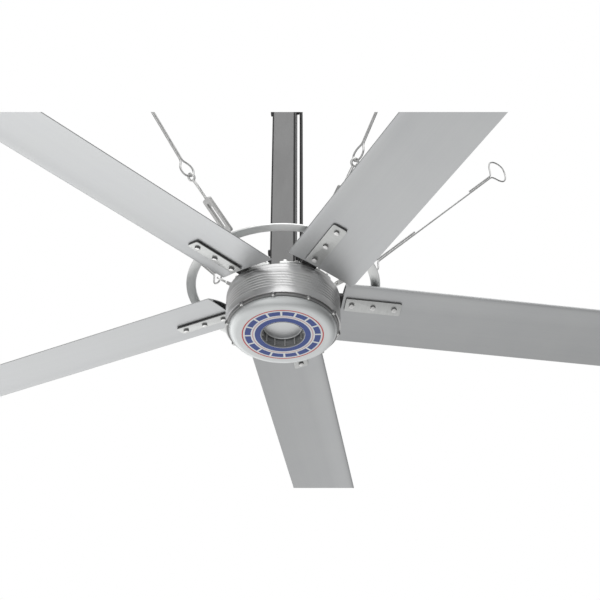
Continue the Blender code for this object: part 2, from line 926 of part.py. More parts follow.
def safety_ring():
    """The flat ring over the blades, with a spacer down to each blade."""
    low, high = ring_bottom, ring_bottom + ring_thickness
    circles = [ring_points(ring_outer_radius, ring_sides), ring_points(ring_inner_radius, ring_sides)]
    ring = extruded(circles, low, high)
    middle_bolt = bolt_places()[clamp_bolt_count // 2]
    spacer_top = (ring_rise + ring_thickness / 2) / math.cos(blade_pitch)
    spacer = cylinder(spacer_radius, skin_top, spacer_top)
    drill_top = spacer_top + ring_nut_lift + cut_overrun
    drill = cylinder(hole(clamp_bolt_radius), skin_top - cut_overrun, drill_top, hex_sides)
    to_bolt = Matrix.Translation((0, 0, pitch_axis_height)) @ turn("X", -blade_pitch)
    to_bolt = to_bolt @ Matrix.Translation((middle_bolt, 0, 0))
    spacers = together([moved(spacer, t @ to_bolt) for t in around(arm_count)])
    drills = together([moved(drill, t @ to_bolt) for t in around(arm_count)])
    return cut(united(ring, spacers), drills)


# Standing side
def stator_shaft():
    low, high = lower_bearing_bottom, shaft_flange_bottom + shaft_flange_thickness
    shaft = turned(
        [
            (0.0, low),
            (shaft_radius, low),
            (shaft_radius, shaft_flange_bottom),
            (shaft_flange_radius, shaft_flange_bottom),
            (shaft_flange_radius, high),
            (0.0, high),
        ],
        inner_sides,
    )
    drill = cylinder(hole(stud_radius), shaft_flange_bottom - cut_overrun, high + cut_overrun, hex_sides)
    return cut(shaft, on_circle(drill, yoke_bolt_circle, yoke_bolt_count))


def slot_block(low, high, margin):
    inner, outer = slot_inner_radius - margin, slot_outer_radius + margin
    half = slot_width / 2 + margin
    return block((inner, -half, low), (outer, half, high))


def stator_core():
    low, high = stator_bottom, stator_bottom + stator_height
    bore = hole(shaft_radius, round_sides)
    core = turned([(bore, low), (stator_radius, low), (stator_radius, high), (bore, high)])
    slot = slot_block(low - cut_overrun, high + cut_overrun, gap)
    return cut(core, together([moved(slot, t) for t in around(slot_count)]))


def stator_windings():
    low, high = stator_bottom - gap, stator_bottom + stator_height + gap
    inner, outer = slot_inner_radius - winding_spread, slot_outer_radius + winding_spread
    ends = [
        turned([(inner, bottom), (outer, bottom), (outer, top), (inner, top)], inner_sides)
        for bottom, top in ((low - winding_overhang, low), (high, high + winding_overhang))
    ]
    bar = slot_block(low - winding_overhang / 2, high + winding_overhang / 2, 0.0)
    return united(ends[0], ends[1], together([moved(bar, t) for t in around(slot_count)]))


def across_bolt(shank_radius, head_radius, head_height, half_width):
    """A bolt with washers and a nut through something of this half width, along X."""
    inside = half_width + gap
    end = inside + washer_thickness + head_height + bolt_stub
    shapes = [cylinder(shank_radius, -inside - washer_thickness, end)]
    for side in (-1, 1):
        washer_top = inside + washer_thickness
        washer = sorted((side * inside, side * washer_top))
        head = sorted((side * (washer_top - washer_thickness / 2), side * (washer_top + head_height)))
        shapes.append(cylinder(head_radius + washer_margin, *washer))
        shapes.append(cylinder(head_radius, *head, hex_sides))
    return moved(united(*shapes), turn("Y", math.pi / 2))


def cross_drill(radius, height, half_width, axis):
    tool = cylinder(hole(radius, bolt_sides), -half_width - cut_overrun, half_width + cut_overrun)
    return moved(tool, Matrix.Translation((0, 0, height)) @ turn(axis, math.pi / 2))


def motor_yoke():
    flange = cylinder(yoke_flange_radius, yoke_bottom, yoke_top, inner_sides)
    stem_top = yoke_top + yoke_stem_length
    stem_start = yoke_top - yoke_flange_thickness / 2
    stem = extruded([square_points(stem_half, rod_corner - rod_wall / 2)], stem_start, stem_top)
    nut_top = shaft_flange_bottom - gap
    stud = united(
        cylinder(stud_radius, nut_top - nut_height - stud_end, stem_start, hex_sides),
        cylinder(bolt_head_radius, nut_top - nut_height, nut_top, hex_sides),
    )
    studs = on_circle(stud, yoke_bolt_circle, yoke_bolt_count)
    drills = [cross_drill(cross_bolt_radius, z, rod_half, "Y") for z in foot_bolt_heights]
    return cut(united(flange, stem, studs), *drills)


def square_tube(half, low, high, drills):
    outlines = [square_points(half, rod_corner), square_points(half - rod_wall, rod_corner / 2)]
    return cut(extruded(outlines, low, high), *drills)


def downrod():
    heights = (*foot_bolt_heights, adjust_bolt_height)
    drills = [cross_drill(cross_bolt_radius, z, rod_half, "Y") for z in heights]
    return square_tube(rod_half, rod_bottom, rod_top_height, drills)


def upper_stem():
    drills = [
        cross_drill(cross_bolt_radius, adjust_bolt_height, stem_half, "Y"),
        cross_drill(pivot_radius, pivot_height, stem_half, "X"),
    ]
    return square_tube(stem_half, stem_bottom_height, stem_top_height, drills)


def ceiling_yoke():
    half = yoke_plate_half
    made = block((-half, -half, yoke_plate_bottom), (half, half, yoke_plate_top))
    inside = stem_half + gap
    for side in (-1, 1):
        near, far = sorted((side * inside, side * (inside + ear_thickness)))
        ear = block(
            (-ear_half_width, near, yoke_plate_bottom - ear_length),
            (ear_half_width, far, yoke_plate_bottom + yoke_plate_thickness / 2),
        )
        made = united(made, ear)
    return cut(made, cross_drill(pivot_radius, pivot_height, inside + ear_thickness, "X"))


def ceiling_plate():
    drill = cylinder(ceiling_hole_radius, ceiling_plate_bottom - cut_overrun, drop_length + cut_overrun)
    corners = [(x, y) for x in (-1, 1) for y in (-1, 1)]
    offset = ceiling_hole_offset
    places = [Matrix.Translation((x * offset, y * offset, 0)) for x, y in corners]
    half = ceiling_plate_half
    plate = block((-half, -half, ceiling_plate_bottom), (half, half, drop_length))
    return cut(plate, together([moved(drill, place) for place in places]))


def guy_bracket():
    """The square plate round the downrod's foot, with a lug and a threaded stud at each corner."""
    opening = square_points(stem_half + gap, rod_corner - rod_wall / 2)
    plate = extruded([square_points(guy_plate_half, rod_corner), opening], guy_plate_bottom, guy_plate_top)
    middle = (guy_plate_bottom + guy_plate_top) / 2
    lug_points = [
        (gusset_inner_radius, middle),
        (gusset_outer_radius, middle),
        (gusset_outer_radius + gusset_lean, guy_plate_top + gusset_rise / 2),
        (gusset_outer_radius, guy_plate_top + gusset_rise),
    ]
    lug = extruded([lug_points], -gusset_thickness / 2, gusset_thickness / 2)
    lug = moved(lug, turn("X", math.pi / 2))
    collar_start = body_start + body_end + gap
    stud = united(
        cylinder(guy_stud_radius, guy_stud_start, collar_start + stud_collar_length / 2),
        cylinder(stud_collar_radius, collar_start, collar_start + stud_collar_length),
    )
    anchor = Matrix.Translation((guy_anchor_radius, 0, middle))
    stud = moved(stud, anchor @ turn("Y", math.pi / 2 - guy_angle))
    lugs = together([moved(lug, t) for t in around(guy_count, math.pi / 4)])
    studs = together([moved(stud, t) for t in around(guy_count, guy_turn)])
    return united(plate, lugs, studs)


def turnbuckle_body():
    """Two bars between two bored blocks, along X from the body's start."""
    end = body_start + body_length
    half_width, half_thickness = body_width / 2, body_thickness / 2
    frame = block((body_start, -half_width, -half_thickness), (end, half_width, half_thickness))
    slot = block(
        (body_start + body_end, -body_slot_width / 2, -body_thickness),
        (end - body_end, body_slot_width / 2, body_thickness),
    )
    bore = cylinder(hole(guy_stud_radius, bolt_sides), body_start - cut_overrun, end + cut_overrun)
    return cut(bevelled(frame, body_bevel), slot, moved(bore, turn("Y", math.pi / 2)))


def eye_rod():
    """A threaded rod that ends in a ring, along X, with the ring lying flat."""
    ring_edge = eye_place - eye_ring_radius
    shank = moved(cylinder(guy_stud_radius, ring_edge - eye_rod_length, ring_edge), turn("Y", math.pi / 2))
    ring = torus(eye_ring_radius, eye_wire_radius, eye_ring_sides, eye_tube_sides)
    return united(shank, moved(ring, Matrix.Translation((eye_place, 0, 0))))


def cable_gland():
    low = guy_plate_top + gap
    nut = cylinder(gland_radius, low, low + gland_nut_height, hex_sides)
    neck = turned(
        [
            (0.0, low + gland_nut_height / 2),
            (gland_radius - gland_shoulder, low + gland_nut_height / 2),
            (gland_neck_radius, low + gland_height),
            (0.0, low + gland_height),
        ],
        bolt_sides,
    )
    return united(nut, neck)


def cable_clip(face, height):
    """A block from a tube's face that closes round the cable."""
    low, high = height - clip_height / 2, height + clip_height / 2
    clip = block(
        (face + gap, cable_back - cable_radius - clip_margin, low),
        (cable_side + cable_radius + clip_margin / 2, cable_back + cable_radius + clip_margin, high),
    )
    bore = cylinder(hole(cable_radius, bolt_sides), low - cut_overrun, high + cut_overrun)
    return cut(clip, moved(bore, Matrix.Translation((cable_side, cable_back, 0))))


def terminal_box():
    high = ceiling_plate_bottom - gap
    low = high - box_height
    half_x, half_y = box_width / 2, box_length / 2
    box = bevelled(block((-half_x, -half_y, low), (half_x, half_y, high)), box_bevel)
    entry = cylinder(box_gland_radius, low - box_gland_height, low + box_bevel)
    return moved(united(box, entry), Matrix.Translation((box_offset, cable_back, 0)))


def cable_points():
    """The power cable's route: straight up the downrod, then over to the box in an easy bend."""
    low = guy_plate_top + gap + gland_height + gap
    bend = rod_top_height + bend_rise
    high = ceiling_plate_bottom - gap - box_height - box_gland_height - gap
    reach = box_offset - cable_side
    rises = [low + (bend - low) * i / straight_steps for i in range(straight_steps)]
    points = [Vector((cable_side, cable_back, z)) for z in rises]
    for up, across in bend_shares:
        points.append(Vector((cable_side + reach * across, cable_back, bend + (high - bend) * up)))
    return points


def build_rotor(head, surfaces):
    """The turning side, carried by an empty on the motor's axis."""
    rotor = empty("rotor_spin", head, (0, 0, 0), (0, 0, blade_turn))
    piece("housing_shell", housing_shell(), surfaces["brushed"], rotor)
    piece("top_cover", top_cover(), surfaces["brushed"], rotor)
    piece("flange_cover", flange_cover(), surfaces["brushed"], rotor)
    piece("bottom_cap", bottom_cap(), surfaces["cap"], rotor)
    piece("badge_cup", badge_cup(), surfaces["black"], rotor)
    piece("badge_disc", badge_disc(), surfaces["cap"], rotor)
    piece("magnet_ring", magnet_ring(), surfaces["magnet"], rotor)
    shared_bearing = bearing()
    piece("lower_bearing", shared_bearing, surfaces["steel"], rotor, (0, 0, lower_bearing_bottom))
    piece("upper_bearing", shared_bearing, surfaces["steel"], rotor, (0, 0, cover_bottom))
    piece("safety_ring", safety_ring(), surfaces["brushed"], rotor)
    meshes = {
        "blade_arm": (arm(), surfaces["dark"]),
        "blade": (blade(), surfaces["blade"]),
        "blade_clamp": (blade_clamp(), surfaces["brushed"]),
        "tip_cap": (tip_cap(), surfaces["cap"]),
    }
    for i in range(arm_count):
        turns = (-blade_pitch, 0, math.tau * i / arm_count)
        frame = empty(f"blade_frame_{i + 1}", rotor, (0, 0, pitch_axis_height), turns)
        for name, (mesh, surface) in meshes.items():
            piece(f"{name}_{i + 1}", mesh, surface, frame)


def build_mounting(head, surfaces):
    """The standing side from the motor's shaft up to the ceiling."""
    frame = empty("downrod_frame", head, (0, 0, 0), (0, 0, rod_turn))
    piece("stator_shaft", stator_shaft(), surfaces["steel"], frame)
    piece("stator_core", stator_core(), surfaces["dark"], frame)
    piece("stator_windings", stator_windings(), surfaces["copper"], frame)
    piece("motor_yoke", motor_yoke(), surfaces["dark"], frame)
    piece("guy_bracket", guy_bracket(), surfaces["steel"], frame)
    piece("downrod", downrod(), surfaces["rod"], frame)
    piece("upper_stem", upper_stem(), surfaces["rod"], frame)
    piece("ceiling_yoke", ceiling_yoke(), surfaces["rod"], frame)
    piece("ceiling_plate", ceiling_plate(), surfaces["rod"], frame)
    cross_bolt = across_bolt(cross_bolt_radius, cross_head_radius, cross_head_height, rod_half)
    for i, height in enumerate(foot_bolt_heights):
        piece(f"foot_bolt_{i + 1}", cross_bolt, surfaces["dark"], frame, (0, 0, height))
    piece("adjust_bolt", cross_bolt, surfaces["dark"], frame, (0, 0, adjust_bolt_height))
    ears = stem_half + gap + ear_thickness
    pivot = across_bolt(pivot_radius, pivot_head_radius, pivot_head_height, ears)
    piece("pivot_bolt", pivot, surfaces["dark"], frame, (0, 0, pivot_height), (0, 0, math.pi / 2))
    piece("cable_gland", cable_gland(), surfaces["black"], frame, (cable_side, cable_back, 0))
    clip_places = ((rod_half, rod_bottom + clip_lift), (stem_half, rod_top_height + clip_rise))
    for i, (face, height) in enumerate(clip_places):
        piece(f"cable_clip_{i + 1}", cable_clip(face, height), surfaces["black"], frame)
    piece("terminal_box", terminal_box(), surfaces["black"], frame)
    route = smooth_route(cable_points())
    tube("power_cable", route, cable_radius, cable_resolution, surfaces["black"], frame)
    return frame


def build_guys(frame, surfaces):
    """The four turnbuckles with their eye rods, and the wires that hang from them."""
    middle = (guy_plate_bottom + guy_plate_top) / 2
    body, rod = turnbuckle_body(), eye_rod()
    route = smooth_route([Vector((along, 0, above)) for along, above in wire_route])
    for i in range(guy_count):
        side = guy_turn + math.tau * i / guy_count
        corner = empty(f"guy_frame_{i + 1}", frame, (0, 0, 0), (0, 0, side))
        line = empty(f"guy_line_{i + 1}", corner, (guy_anchor_radius, 0, middle), (0, -guy_angle, 0))
        piece(f"turnbuckle_body_{i + 1}", body, surfaces["steel"], line)
        piece(f"eye_rod_{i + 1}", rod, surfaces["steel"], line)
        bend = empty(f"wire_line_{i + 1}", line, (eye_place, 0, 0), (0, guy_angle - wire_angle, 0))
        tube(f"guy_wire_{i + 1}", route, wire_radius, wire_resolution, surfaces["rope"], bend)


def build():
    for old in list(bpy.data.objects):
        bpy.data.objects.remove(old)
    surfaces = finishes()
    head = empty("fan_head", None, (0, 0, -drop_length))
    build_rotor(head, surfaces)
    frame = build_mounting(head, surfaces)
    build_guys(frame, surfaces)


build()
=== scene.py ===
# The looks of a high volume low speed ceiling fan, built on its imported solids. Lengths are metres

import math

import bmesh
import bpy
import numpy as np
from mathutils import Matrix, Vector


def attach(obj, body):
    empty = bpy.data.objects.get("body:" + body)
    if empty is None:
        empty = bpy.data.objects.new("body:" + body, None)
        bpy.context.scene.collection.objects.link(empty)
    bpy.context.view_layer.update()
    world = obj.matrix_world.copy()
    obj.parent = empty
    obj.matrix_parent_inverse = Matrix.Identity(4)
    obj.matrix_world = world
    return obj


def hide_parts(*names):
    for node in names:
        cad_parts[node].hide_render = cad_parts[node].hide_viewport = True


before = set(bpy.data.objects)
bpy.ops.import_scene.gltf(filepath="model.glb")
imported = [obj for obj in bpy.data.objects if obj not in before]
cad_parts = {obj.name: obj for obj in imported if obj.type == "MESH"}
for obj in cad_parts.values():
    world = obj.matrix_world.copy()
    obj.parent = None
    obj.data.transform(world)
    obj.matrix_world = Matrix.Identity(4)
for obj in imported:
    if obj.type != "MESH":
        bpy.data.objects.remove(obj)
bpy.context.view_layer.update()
print("frame:", len(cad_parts), "nodes")

# Places that several pieces share; heights are measured up from the flat face under the motor
fan = {
    "drop": 1.2,
    "gap": 0.0003,
    "bladeCount": 5, "bladeTurn": math.radians(8.41), "pitch": math.radians(14.85), "pitchHeight": 0.1277,
    "rodTurn": math.radians(-6.5), "rodHalf": 0.034, "stemHalf": 0.0297,
    "guyCount": 4, "guyTurn": math.radians(43.1), "guyAngle": math.radians(44.45),
    "guyAnchor": 0.0894, "guyHeight": 0.1673, "eyePlace": 0.3054, "wireAngle": math.radians(50.12),
    "cableSide": 0.0462, "cableBack": 0.02, "cableRadius": 0.0047,
}


# Some entries of a settings dictionary
def pick(settings, *keys):
    return [settings[key] for key in keys]


# The matrix of a move
def shift(x=0.0, y=0.0, z=0.0):
    return Matrix.Translation((x, y, z))


# The matrix of a turn about an axis through the origin
def turn(axis, angle):
    return Matrix.Rotation(angle, 4, axis)


# Equal turns about Z: number i is start + 2 pi * i / count
def around(count, start=0.0):
    return [turn("Z", start + math.tau * i / count) for i in range(count)]


headPlace = shift(z=-fan["drop"])
rotorPlace = headPlace @ turn("Z", fan["bladeTurn"])
rodPlace = headPlace @ turn("Z", fan["rodTurn"])
bladePlaces = [
    rotorPlace @ shift(z=fan["pitchHeight"]) @ t @ turn("X", -fan["pitch"])
    for t in around(fan["bladeCount"])
]
guyPlaces = [
    rodPlace @ t @ shift(fan["guyAnchor"], 0, fan["guyHeight"]) @ turn("Y", -fan["guyAngle"])
    for t in around(fan["guyCount"], fan["guyTurn"])
]
wirePlaces = [
    place @ shift(fan["eyePlace"]) @ turn("Y", fan["guyAngle"] - fan["wireAngle"]) for place in guyPlaces
]
alongX = turn("Y", math.pi / 2)
uprightX = turn("X", math.pi / 2)


# Shapes: each is a list of points and a list of faces
# Faces between the rows of a table of points; its columns close on themselves
def grid(points, closedRows=False, caps=False):
    rows, columns = points.shape[:2]
    places = np.arange(rows * columns).reshape(rows, columns)
    wrapped = np.vstack([places, places[:1]]) if closedRows else places
    wrapped = np.hstack([wrapped, wrapped[:, :1]])
    corners = [wrapped[:-1, :-1], wrapped[:-1, 1:], wrapped[1:, 1:], wrapped[1:, :-1]]
    faces = np.stack(corners, axis=-1).reshape(-1, 4).tolist()
    if caps:
        faces += [places[0, ::-1].tolist(), places[-1].tolist()]
    return points.reshape(-1, 3), faces


# Several shapes as one: points end to end, and each shape's faces counted on from the last
def joined(shapes):
    points, faces, count = [], [], 0
    for shapePoints, shapeFaces in shapes:
        points.append(shapePoints)
        faces += [[i + count for i in face] for face in shapeFaces]
        count += len(shapePoints)
    return np.vstack(points), faces


# Each point becomes the matrix's turn times the point, plus its move
def moved(shape, place):
    matrix = np.array(place)
    return shape[0] @ matrix[:3, :3].T + matrix[:3, 3], shape[1]


# The same shape at each of these places
def copies(shape, places):
    return joined([moved(shape, place) for place in places])


# The same shape at equal angles on a circle about Z
def onCircle(shape, radius, count, start=0.0):
    return copies(shape, [t @ shift(radius) for t in around(count, start)])


# Angle number i is 2 pi * i / sides
def fullTurn(sides):
    return np.linspace(0, math.tau, sides, endpoint=False)


# The points of a circle of radius 1 at these angles
def ray(angles):
    return np.stack([np.cos(angles), np.sin(angles)], axis=-1)


# Each point is radius * (cos angle, sin angle)
def circle(radius, sides):
    return radius * ray(fullTurn(sides))


# The corners of a rectangle about the origin, anticlockwise
def rectangle(halfX, halfY):
    return [(halfX, -halfY), (halfX, halfY), (-halfX, halfY), (-halfX, -halfY)]


# The corners between a start and an end on each axis, anticlockwise
def oblong(startX, endX, startY, endY):
    return [(startX, startY), (endX, startY), (endX, endY), (startX, endY)]


# A closed outline whose corners are blends that leave each side at this distance from the corner
def rounded(outline, radius, steps=4):
    outline = np.array(outline, float)
    before, after = np.roll(outline, 1, axis=0), np.roll(outline, -1, axis=0)
    radii = np.broadcast_to(np.array(radius, float), len(outline))
    most = 0.49  # of a side, so that two blends on it never meet
    made = []
    for a, b, c, r in zip(before, outline, after, radii):
        if r == 0:
            made.append([b])
            continue
        start, end = (b + (p - b) * min(r / np.linalg.norm(p - b), most) for p in (a, c))
        t = np.linspace(0, 1, steps + 1)[:, None]
        made.append((1 - t) ** 2 * start + 2 * t * (1 - t) * b + t**2 * end)
    return np.vstack(made)


# A square with true quarter circles for corners
def roundSquare(half, corner, steps=8):
    quarters = [corner * ray(np.linspace(0, math.pi / 2, steps + 1)) + (half - corner)]
    for _ in range(3):
        quarters.append(quarters[-1] @ np.array([[0, 1], [-1, 0]]))
    return np.vstack(quarters)


# The points of a rounded corner of a profile, from its side to its end
def quarter(radius, height, edge, steps, inward=False, below=False):
    out, rise = (-1 if inward else 1), (-1 if below else 1)
    return [
        (radius - out * edge * (1 - math.cos(a)), height - rise * edge * (1 - math.sin(a)))
        for a in np.linspace(0, math.pi / 2, steps + 1)
    ]


# A profile's side with both ends rounded. An outer side goes up, past any points between, an inner one down
def rim(radius, low, high, edge, steps, inward=False, between=()):
    lower = quarter(radius, low, edge, steps, inward, below=True)
    upper = quarter(radius, high, edge, steps, inward)
    return upper[::-1] + lower if inward else [*lower[::-1], *between, *upper]


# A profile of steps: after its first point the radius and the height change by turns
def stair(start, *changes):
    points = [start]
    for i, value in enumerate(changes):
        radius, height = points[-1]
        points.append((radius, value) if i % 2 else (value, height))
    return points


# Rows of points round Z: a radius for each row and side, and a height for each row
def rowsRound(radii, heights, angles):
    heights = np.broadcast_to(np.reshape(heights, (-1, 1, 1)), (*radii.shape, 1))
    return np.concatenate([radii[..., None] * ray(angles), heights], axis=-1)


# A profile of (radius, height) spun about Z. swell adds a radius for each side times a share for each row
def lathe(profile, sides=128, closed=True, swell=None):
    profile = np.array(profile, float)
    angles = fullTurn(sides)
    radii = np.repeat(profile[:, :1], sides, axis=1)
    if swell:
        radii = radii + np.outer(swell[1], swell[0](angles))
    return grid(rowsRound(radii, profile[:, 1], angles), closedRows=closed)


# An outline drawn in by a distance, square to its sides
def inset(outline, distance):
    sides = outline - np.roll(outline, 1, axis=0), np.roll(outline, -1, axis=0) - outline
    before, after = (v[:, ::-1] * (1, -1) / np.linalg.norm(v, axis=1)[:, None] for v in sides)
    facing = 1 + (before * after).sum(axis=1)[:, None]
    return outline - distance * (before + after) / np.maximum(facing, 0.5)


# Rows of points from outlines at their heights
def stacked(levels):
    return np.array([np.insert(outline, 2, height, axis=1) for outline, height in levels])


# An outline, anticlockwise, raised through levels of (how far it is drawn in, height)
def stepped(outline, levels):
    outline = np.array(outline, float)
    return grid(stacked([(inset(outline, draw), height) for draw, height in levels]), caps=True)


# An outline, anticlockwise, raised from low to high, with rounded edges at both ends
def prism(outline, low, high, edge=0.0, steps=3):
    angles = np.linspace(0, math.pi / 2, steps + 1) if edge else [math.pi / 2]
    levels = [(edge * (1 - math.sin(a)), low + edge * (1 - math.cos(a))) for a in angles]
    levels += [(draw, high + low - height) for draw, height in reversed(levels)]
    return stepped(outline, levels)


# A wall between two outlines that have as many points as each other
def sleeve(outer, inner, low, high, edge):
    rows = []
    for outline, draw in ((outer, edge), (inner, -edge)):
        drawn = inset(outline, draw)
        side = [(drawn, low), (outline, low + edge), (outline, high - edge), (drawn, high)]
        rows += side if outline is outer else side[::-1]
    return grid(stacked(rows), closedRows=True)


# Flat outlines, the first with the others as its holes, raised from low to high
def extruded(outlines, low, high):
    bm = bmesh.new()
    edges = []
    for outline in outlines:
        corners = [bm.verts.new((x, y, low)) for x, y in outline]
        edges += [bm.edges.new((a, b)) for a, b in zip(corners, corners[1:] + corners[:1])]
    bmesh.ops.triangle_fill(bm, use_beauty=True, use_dissolve=False, edges=edges)
    raised = bmesh.ops.extrude_face_region(bm, geom=bm.faces[:])
    moving = [v for v in raised["geom"] if isinstance(v, bmesh.types.BMVert)]
    bmesh.ops.translate(bm, verts=moving, vec=(0, 0, high - low))
    bm.verts.index_update()
    shape = np.array([v.co for v in bm.verts]), [[v.index for v in face.verts] for face in bm.faces]
    bm.free()
    return shape


# A hexagonal head or nut, its corners cut by a cone of 30 degrees at one end or both
# A side's radius: flat / cos(angle from the side's middle); the cone starts from a share of flat
def hexHead(corner, low, high, cutLow=True, cutHigh=True, sides=72):
    cone = {"face": 0.97, "steps": 4}
    angles, sixth = fullTurn(sides), math.pi / 6
    flat, slope = corner * math.cos(sixth), math.tan(sixth)
    face = flat * cone["face"]
    cuts = (corner - face) * slope * np.arange(1, cone["steps"] + 1) / cone["steps"]
    lower, upper = low + cuts if cutLow else [], high - cuts if cutHigh else []
    heights = np.sort(np.concatenate([[low, high], lower, upper]))
    radii = np.tile(flat / np.cos((angles + sixth) % (2 * sixth) - sixth), (len(heights), 1))
    for cut, away in ((cutHigh, high - heights), (cutLow, heights - low)):
        if cut:
            radii = np.minimum(radii, face + away[:, None] / slope)
    return grid(rowsRound(radii, heights, angles), caps=True)


# A rod with a screw thread, which fades out at its ends
# Radius: radius - pitch * depth * (1 - cos(2 pi height / pitch - angle)) - pitch * taper * (1 - fade)
def thread(radius, low, high):
    screw = {"pitch": 0.00125, "depth": 0.25, "taper": 0.45, "runOut": 0.8, "sides": 20, "perTurn": 5}
    pitch, angles = screw["pitch"], fullTurn(screw["sides"])
    heights = np.linspace(low, high, max(4, int((high - low) / pitch * screw["perTurn"])))
    wave = np.cos(math.tau * heights[:, None] / pitch - angles)
    fade = np.minimum(1, np.minimum(heights - low, high - heights) / (pitch * screw["runOut"]))[:, None]
    radii = radius - pitch * screw["depth"] * (1 - wave) - pitch * screw["taper"] * (1 - fade)
    return grid(rowsRound(radii, heights, angles), caps=True)


# A round plate or rod with rounded edges
def disc(radius, low, high, edge=0.0004, sides=48):
    return prism(circle(radius, sides), low, high, edge, steps=2)


# A tube along a path of points. radii is a number, or a table with a row for each point of the path
def sweep(path, radii, sides):
    path = np.array(path, float)
    ahead = np.gradient(path, axis=0)
    ahead /= np.linalg.norm(ahead, axis=1)[:, None]
    side = np.cross(ahead[0], (0.0, 0.0, 1.0) if abs(ahead[0][2]) < 0.9 else (1.0, 0.0, 0.0))
    sidesAlong = []
    for direction in ahead:
        side = side - direction * side.dot(direction)
        side /= np.linalg.norm(side)
        sidesAlong.append(side)
    first = np.array(sidesAlong)
    second = np.cross(ahead, first)
    cosines, sines = ray(fullTurn(sides)).T[:, None, :, None]
    ring = cosines * first[:, None] + sines * second[:, None]
    return grid(path[:, None] + ring * np.broadcast_to(radii, (len(path), sides))[..., None], caps=True)


# A smooth curve through points, whose slope at each weighs its neighbours by the root of their distance
def smoothRoute(points, steps):
    points = [Vector(p) for p in points]
    ends = [2 * points[0] - points[1], *points, 2 * points[-1] - points[-2]]
    made = []
    for a, b, c, d in zip(ends, ends[1:], ends[2:], ends[3:]):
        before, here, after = (math.sqrt((q - p).length) for p, q in ((a, b), (b, c), (c, d)))
        start = c - b + here * ((b - a) / before - (c - a) / (before + here))
        end = c - b + here * ((d - c) / after - (d - b) / (here + after))
        for i in range(steps):
            t = i / steps
            bend = start * t * (1 - t) ** 2 - end * t**2 * (1 - t)
            made.append(b + (c - b) * t**2 * (3 - 2 * t) + bend)
    return np.array([*made, points[-1]])


# The same path with its points a step apart, and its length
def evenly(path, step):
    lengths = np.concatenate([[0], np.cumsum(np.linalg.norm(np.diff(path, axis=0), axis=1))])
    places = np.linspace(0, lengths[-1], int(lengths[-1] / step) + 1)
    return np.column_stack([np.interp(places, lengths, path[:, i]) for i in range(3)]), lengths[-1]


# A new object in the scene
def linked(name, data):
    made = bpy.data.objects.new(name, data)
    bpy.context.scene.collection.objects.link(made)
    return made


# Makes a shape into an object that rides on a body, keeping each point's place before it was moved
def piece(name, shape, place, surface, body, node, sharp=35):
    points, faces = shape
    mesh = bpy.data.meshes.new(name)
    mesh.from_pydata(points.tolist(), [], faces)
    local = mesh.attributes.new("local", "FLOAT_VECTOR", "POINT")
    local.data.foreach_set("vector", np.asarray(points, np.float32).ravel())
    bm = bmesh.new()
    bm.from_mesh(mesh)
    bmesh.ops.remove_doubles(bm, verts=bm.verts, dist=1e-7)
    bmesh.ops.recalc_face_normals(bm, faces=bm.faces)
    bm.transform(place)
    bm.to_mesh(mesh)
    bm.free()
    mesh.shade_smooth()
    mesh.set_sharp_from_angle(angle=math.radians(sharp))
    mesh.materials.append(surface)
    made = linked(name, mesh)
    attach(made, body)
    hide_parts(node)
    return made


# A piece that rides on the rotor
def turning(name, shape, surface, slot, node, place=rotorPlace, sharp=35):
    return piece(name, shape, place, surfaces[surface], "rotor", node, sharp)


# The same pieces on each blade, numbered from 1
def onBlades(*parts):
    for i, place in enumerate(bladePlaces):
        for name, shape, surface, slot, node, *sharp in parts:
            turning(f"{name}_{i + 1}", shape, surface, slot, f"{node}_{i + 1}", place, *sharp)


# A piece that rides on the mounting
def standing(name, shape, surface, node, place=rodPlace):
    return piece(name, shape, place, surfaces[surface], "mounting", node)


# Rounds the edges of an object whose faces meet at more than 30 degrees
def soften(made, width, segments=2):
    bevel = made.modifiers.new("rounding", "BEVEL")
    bevel.width, bevel.segments = width, segments
    bevel.limit_method, bevel.angle_limit = "ANGLE", math.radians(30)
    bevel.harden_normals = True


# Surfaces
# A node's output that can stand in sums with other outputs and with plain numbers
class Wire:
    def __init__(self, tree, socket):
        self.tree, self.socket = tree, socket

    # A Math node's result
    def maths(self, operation, *terms):
        return joinNode(self.tree, "ShaderNodeMath", terms, operation=operation)

    __add__, __sub__, __mul__, __truediv__, __pow__ = (
        lambda self, other, kind=kind: self.maths(kind, self, other)
        for kind in ("ADD", "SUBTRACT", "MULTIPLY", "DIVIDE", "POWER")
    )
    __radd__, __rmul__ = __add__, __mul__

    def __rsub__(self, other):
        return self.maths("SUBTRACT", other, self)

    # 0 below low and 1 above high, with a soft step from one to the other
    def between(self, low, high):
        inputs = {"Value": self, "From Min": low, "From Max": high}
        return joinNode(self.tree, "ShaderNodeMapRange", inputs, interpolation_type="SMOOTHSTEP")


# Adds a node, sets it, links or fills its inputs and gives one of its outputs
def joinNode(tree, kind, inputs=(), output=0, **settings):
    made = tree.nodes.new(kind)
    for name, value in settings.items():
        setattr(made, name, value)
    for key, value in inputs.items() if isinstance(inputs, dict) else enumerate(inputs):
        if isinstance(value, Wire):
            tree.links.new(value.socket, made.inputs[key])
        else:
            made.inputs[key].default_value = value
    return Wire(tree, made.outputs[output])


# The three parts of a vector
def split(tree, vector):
    return [joinNode(tree, "ShaderNodeSeparateXYZ", [vector], output=i) for i in range(3)]


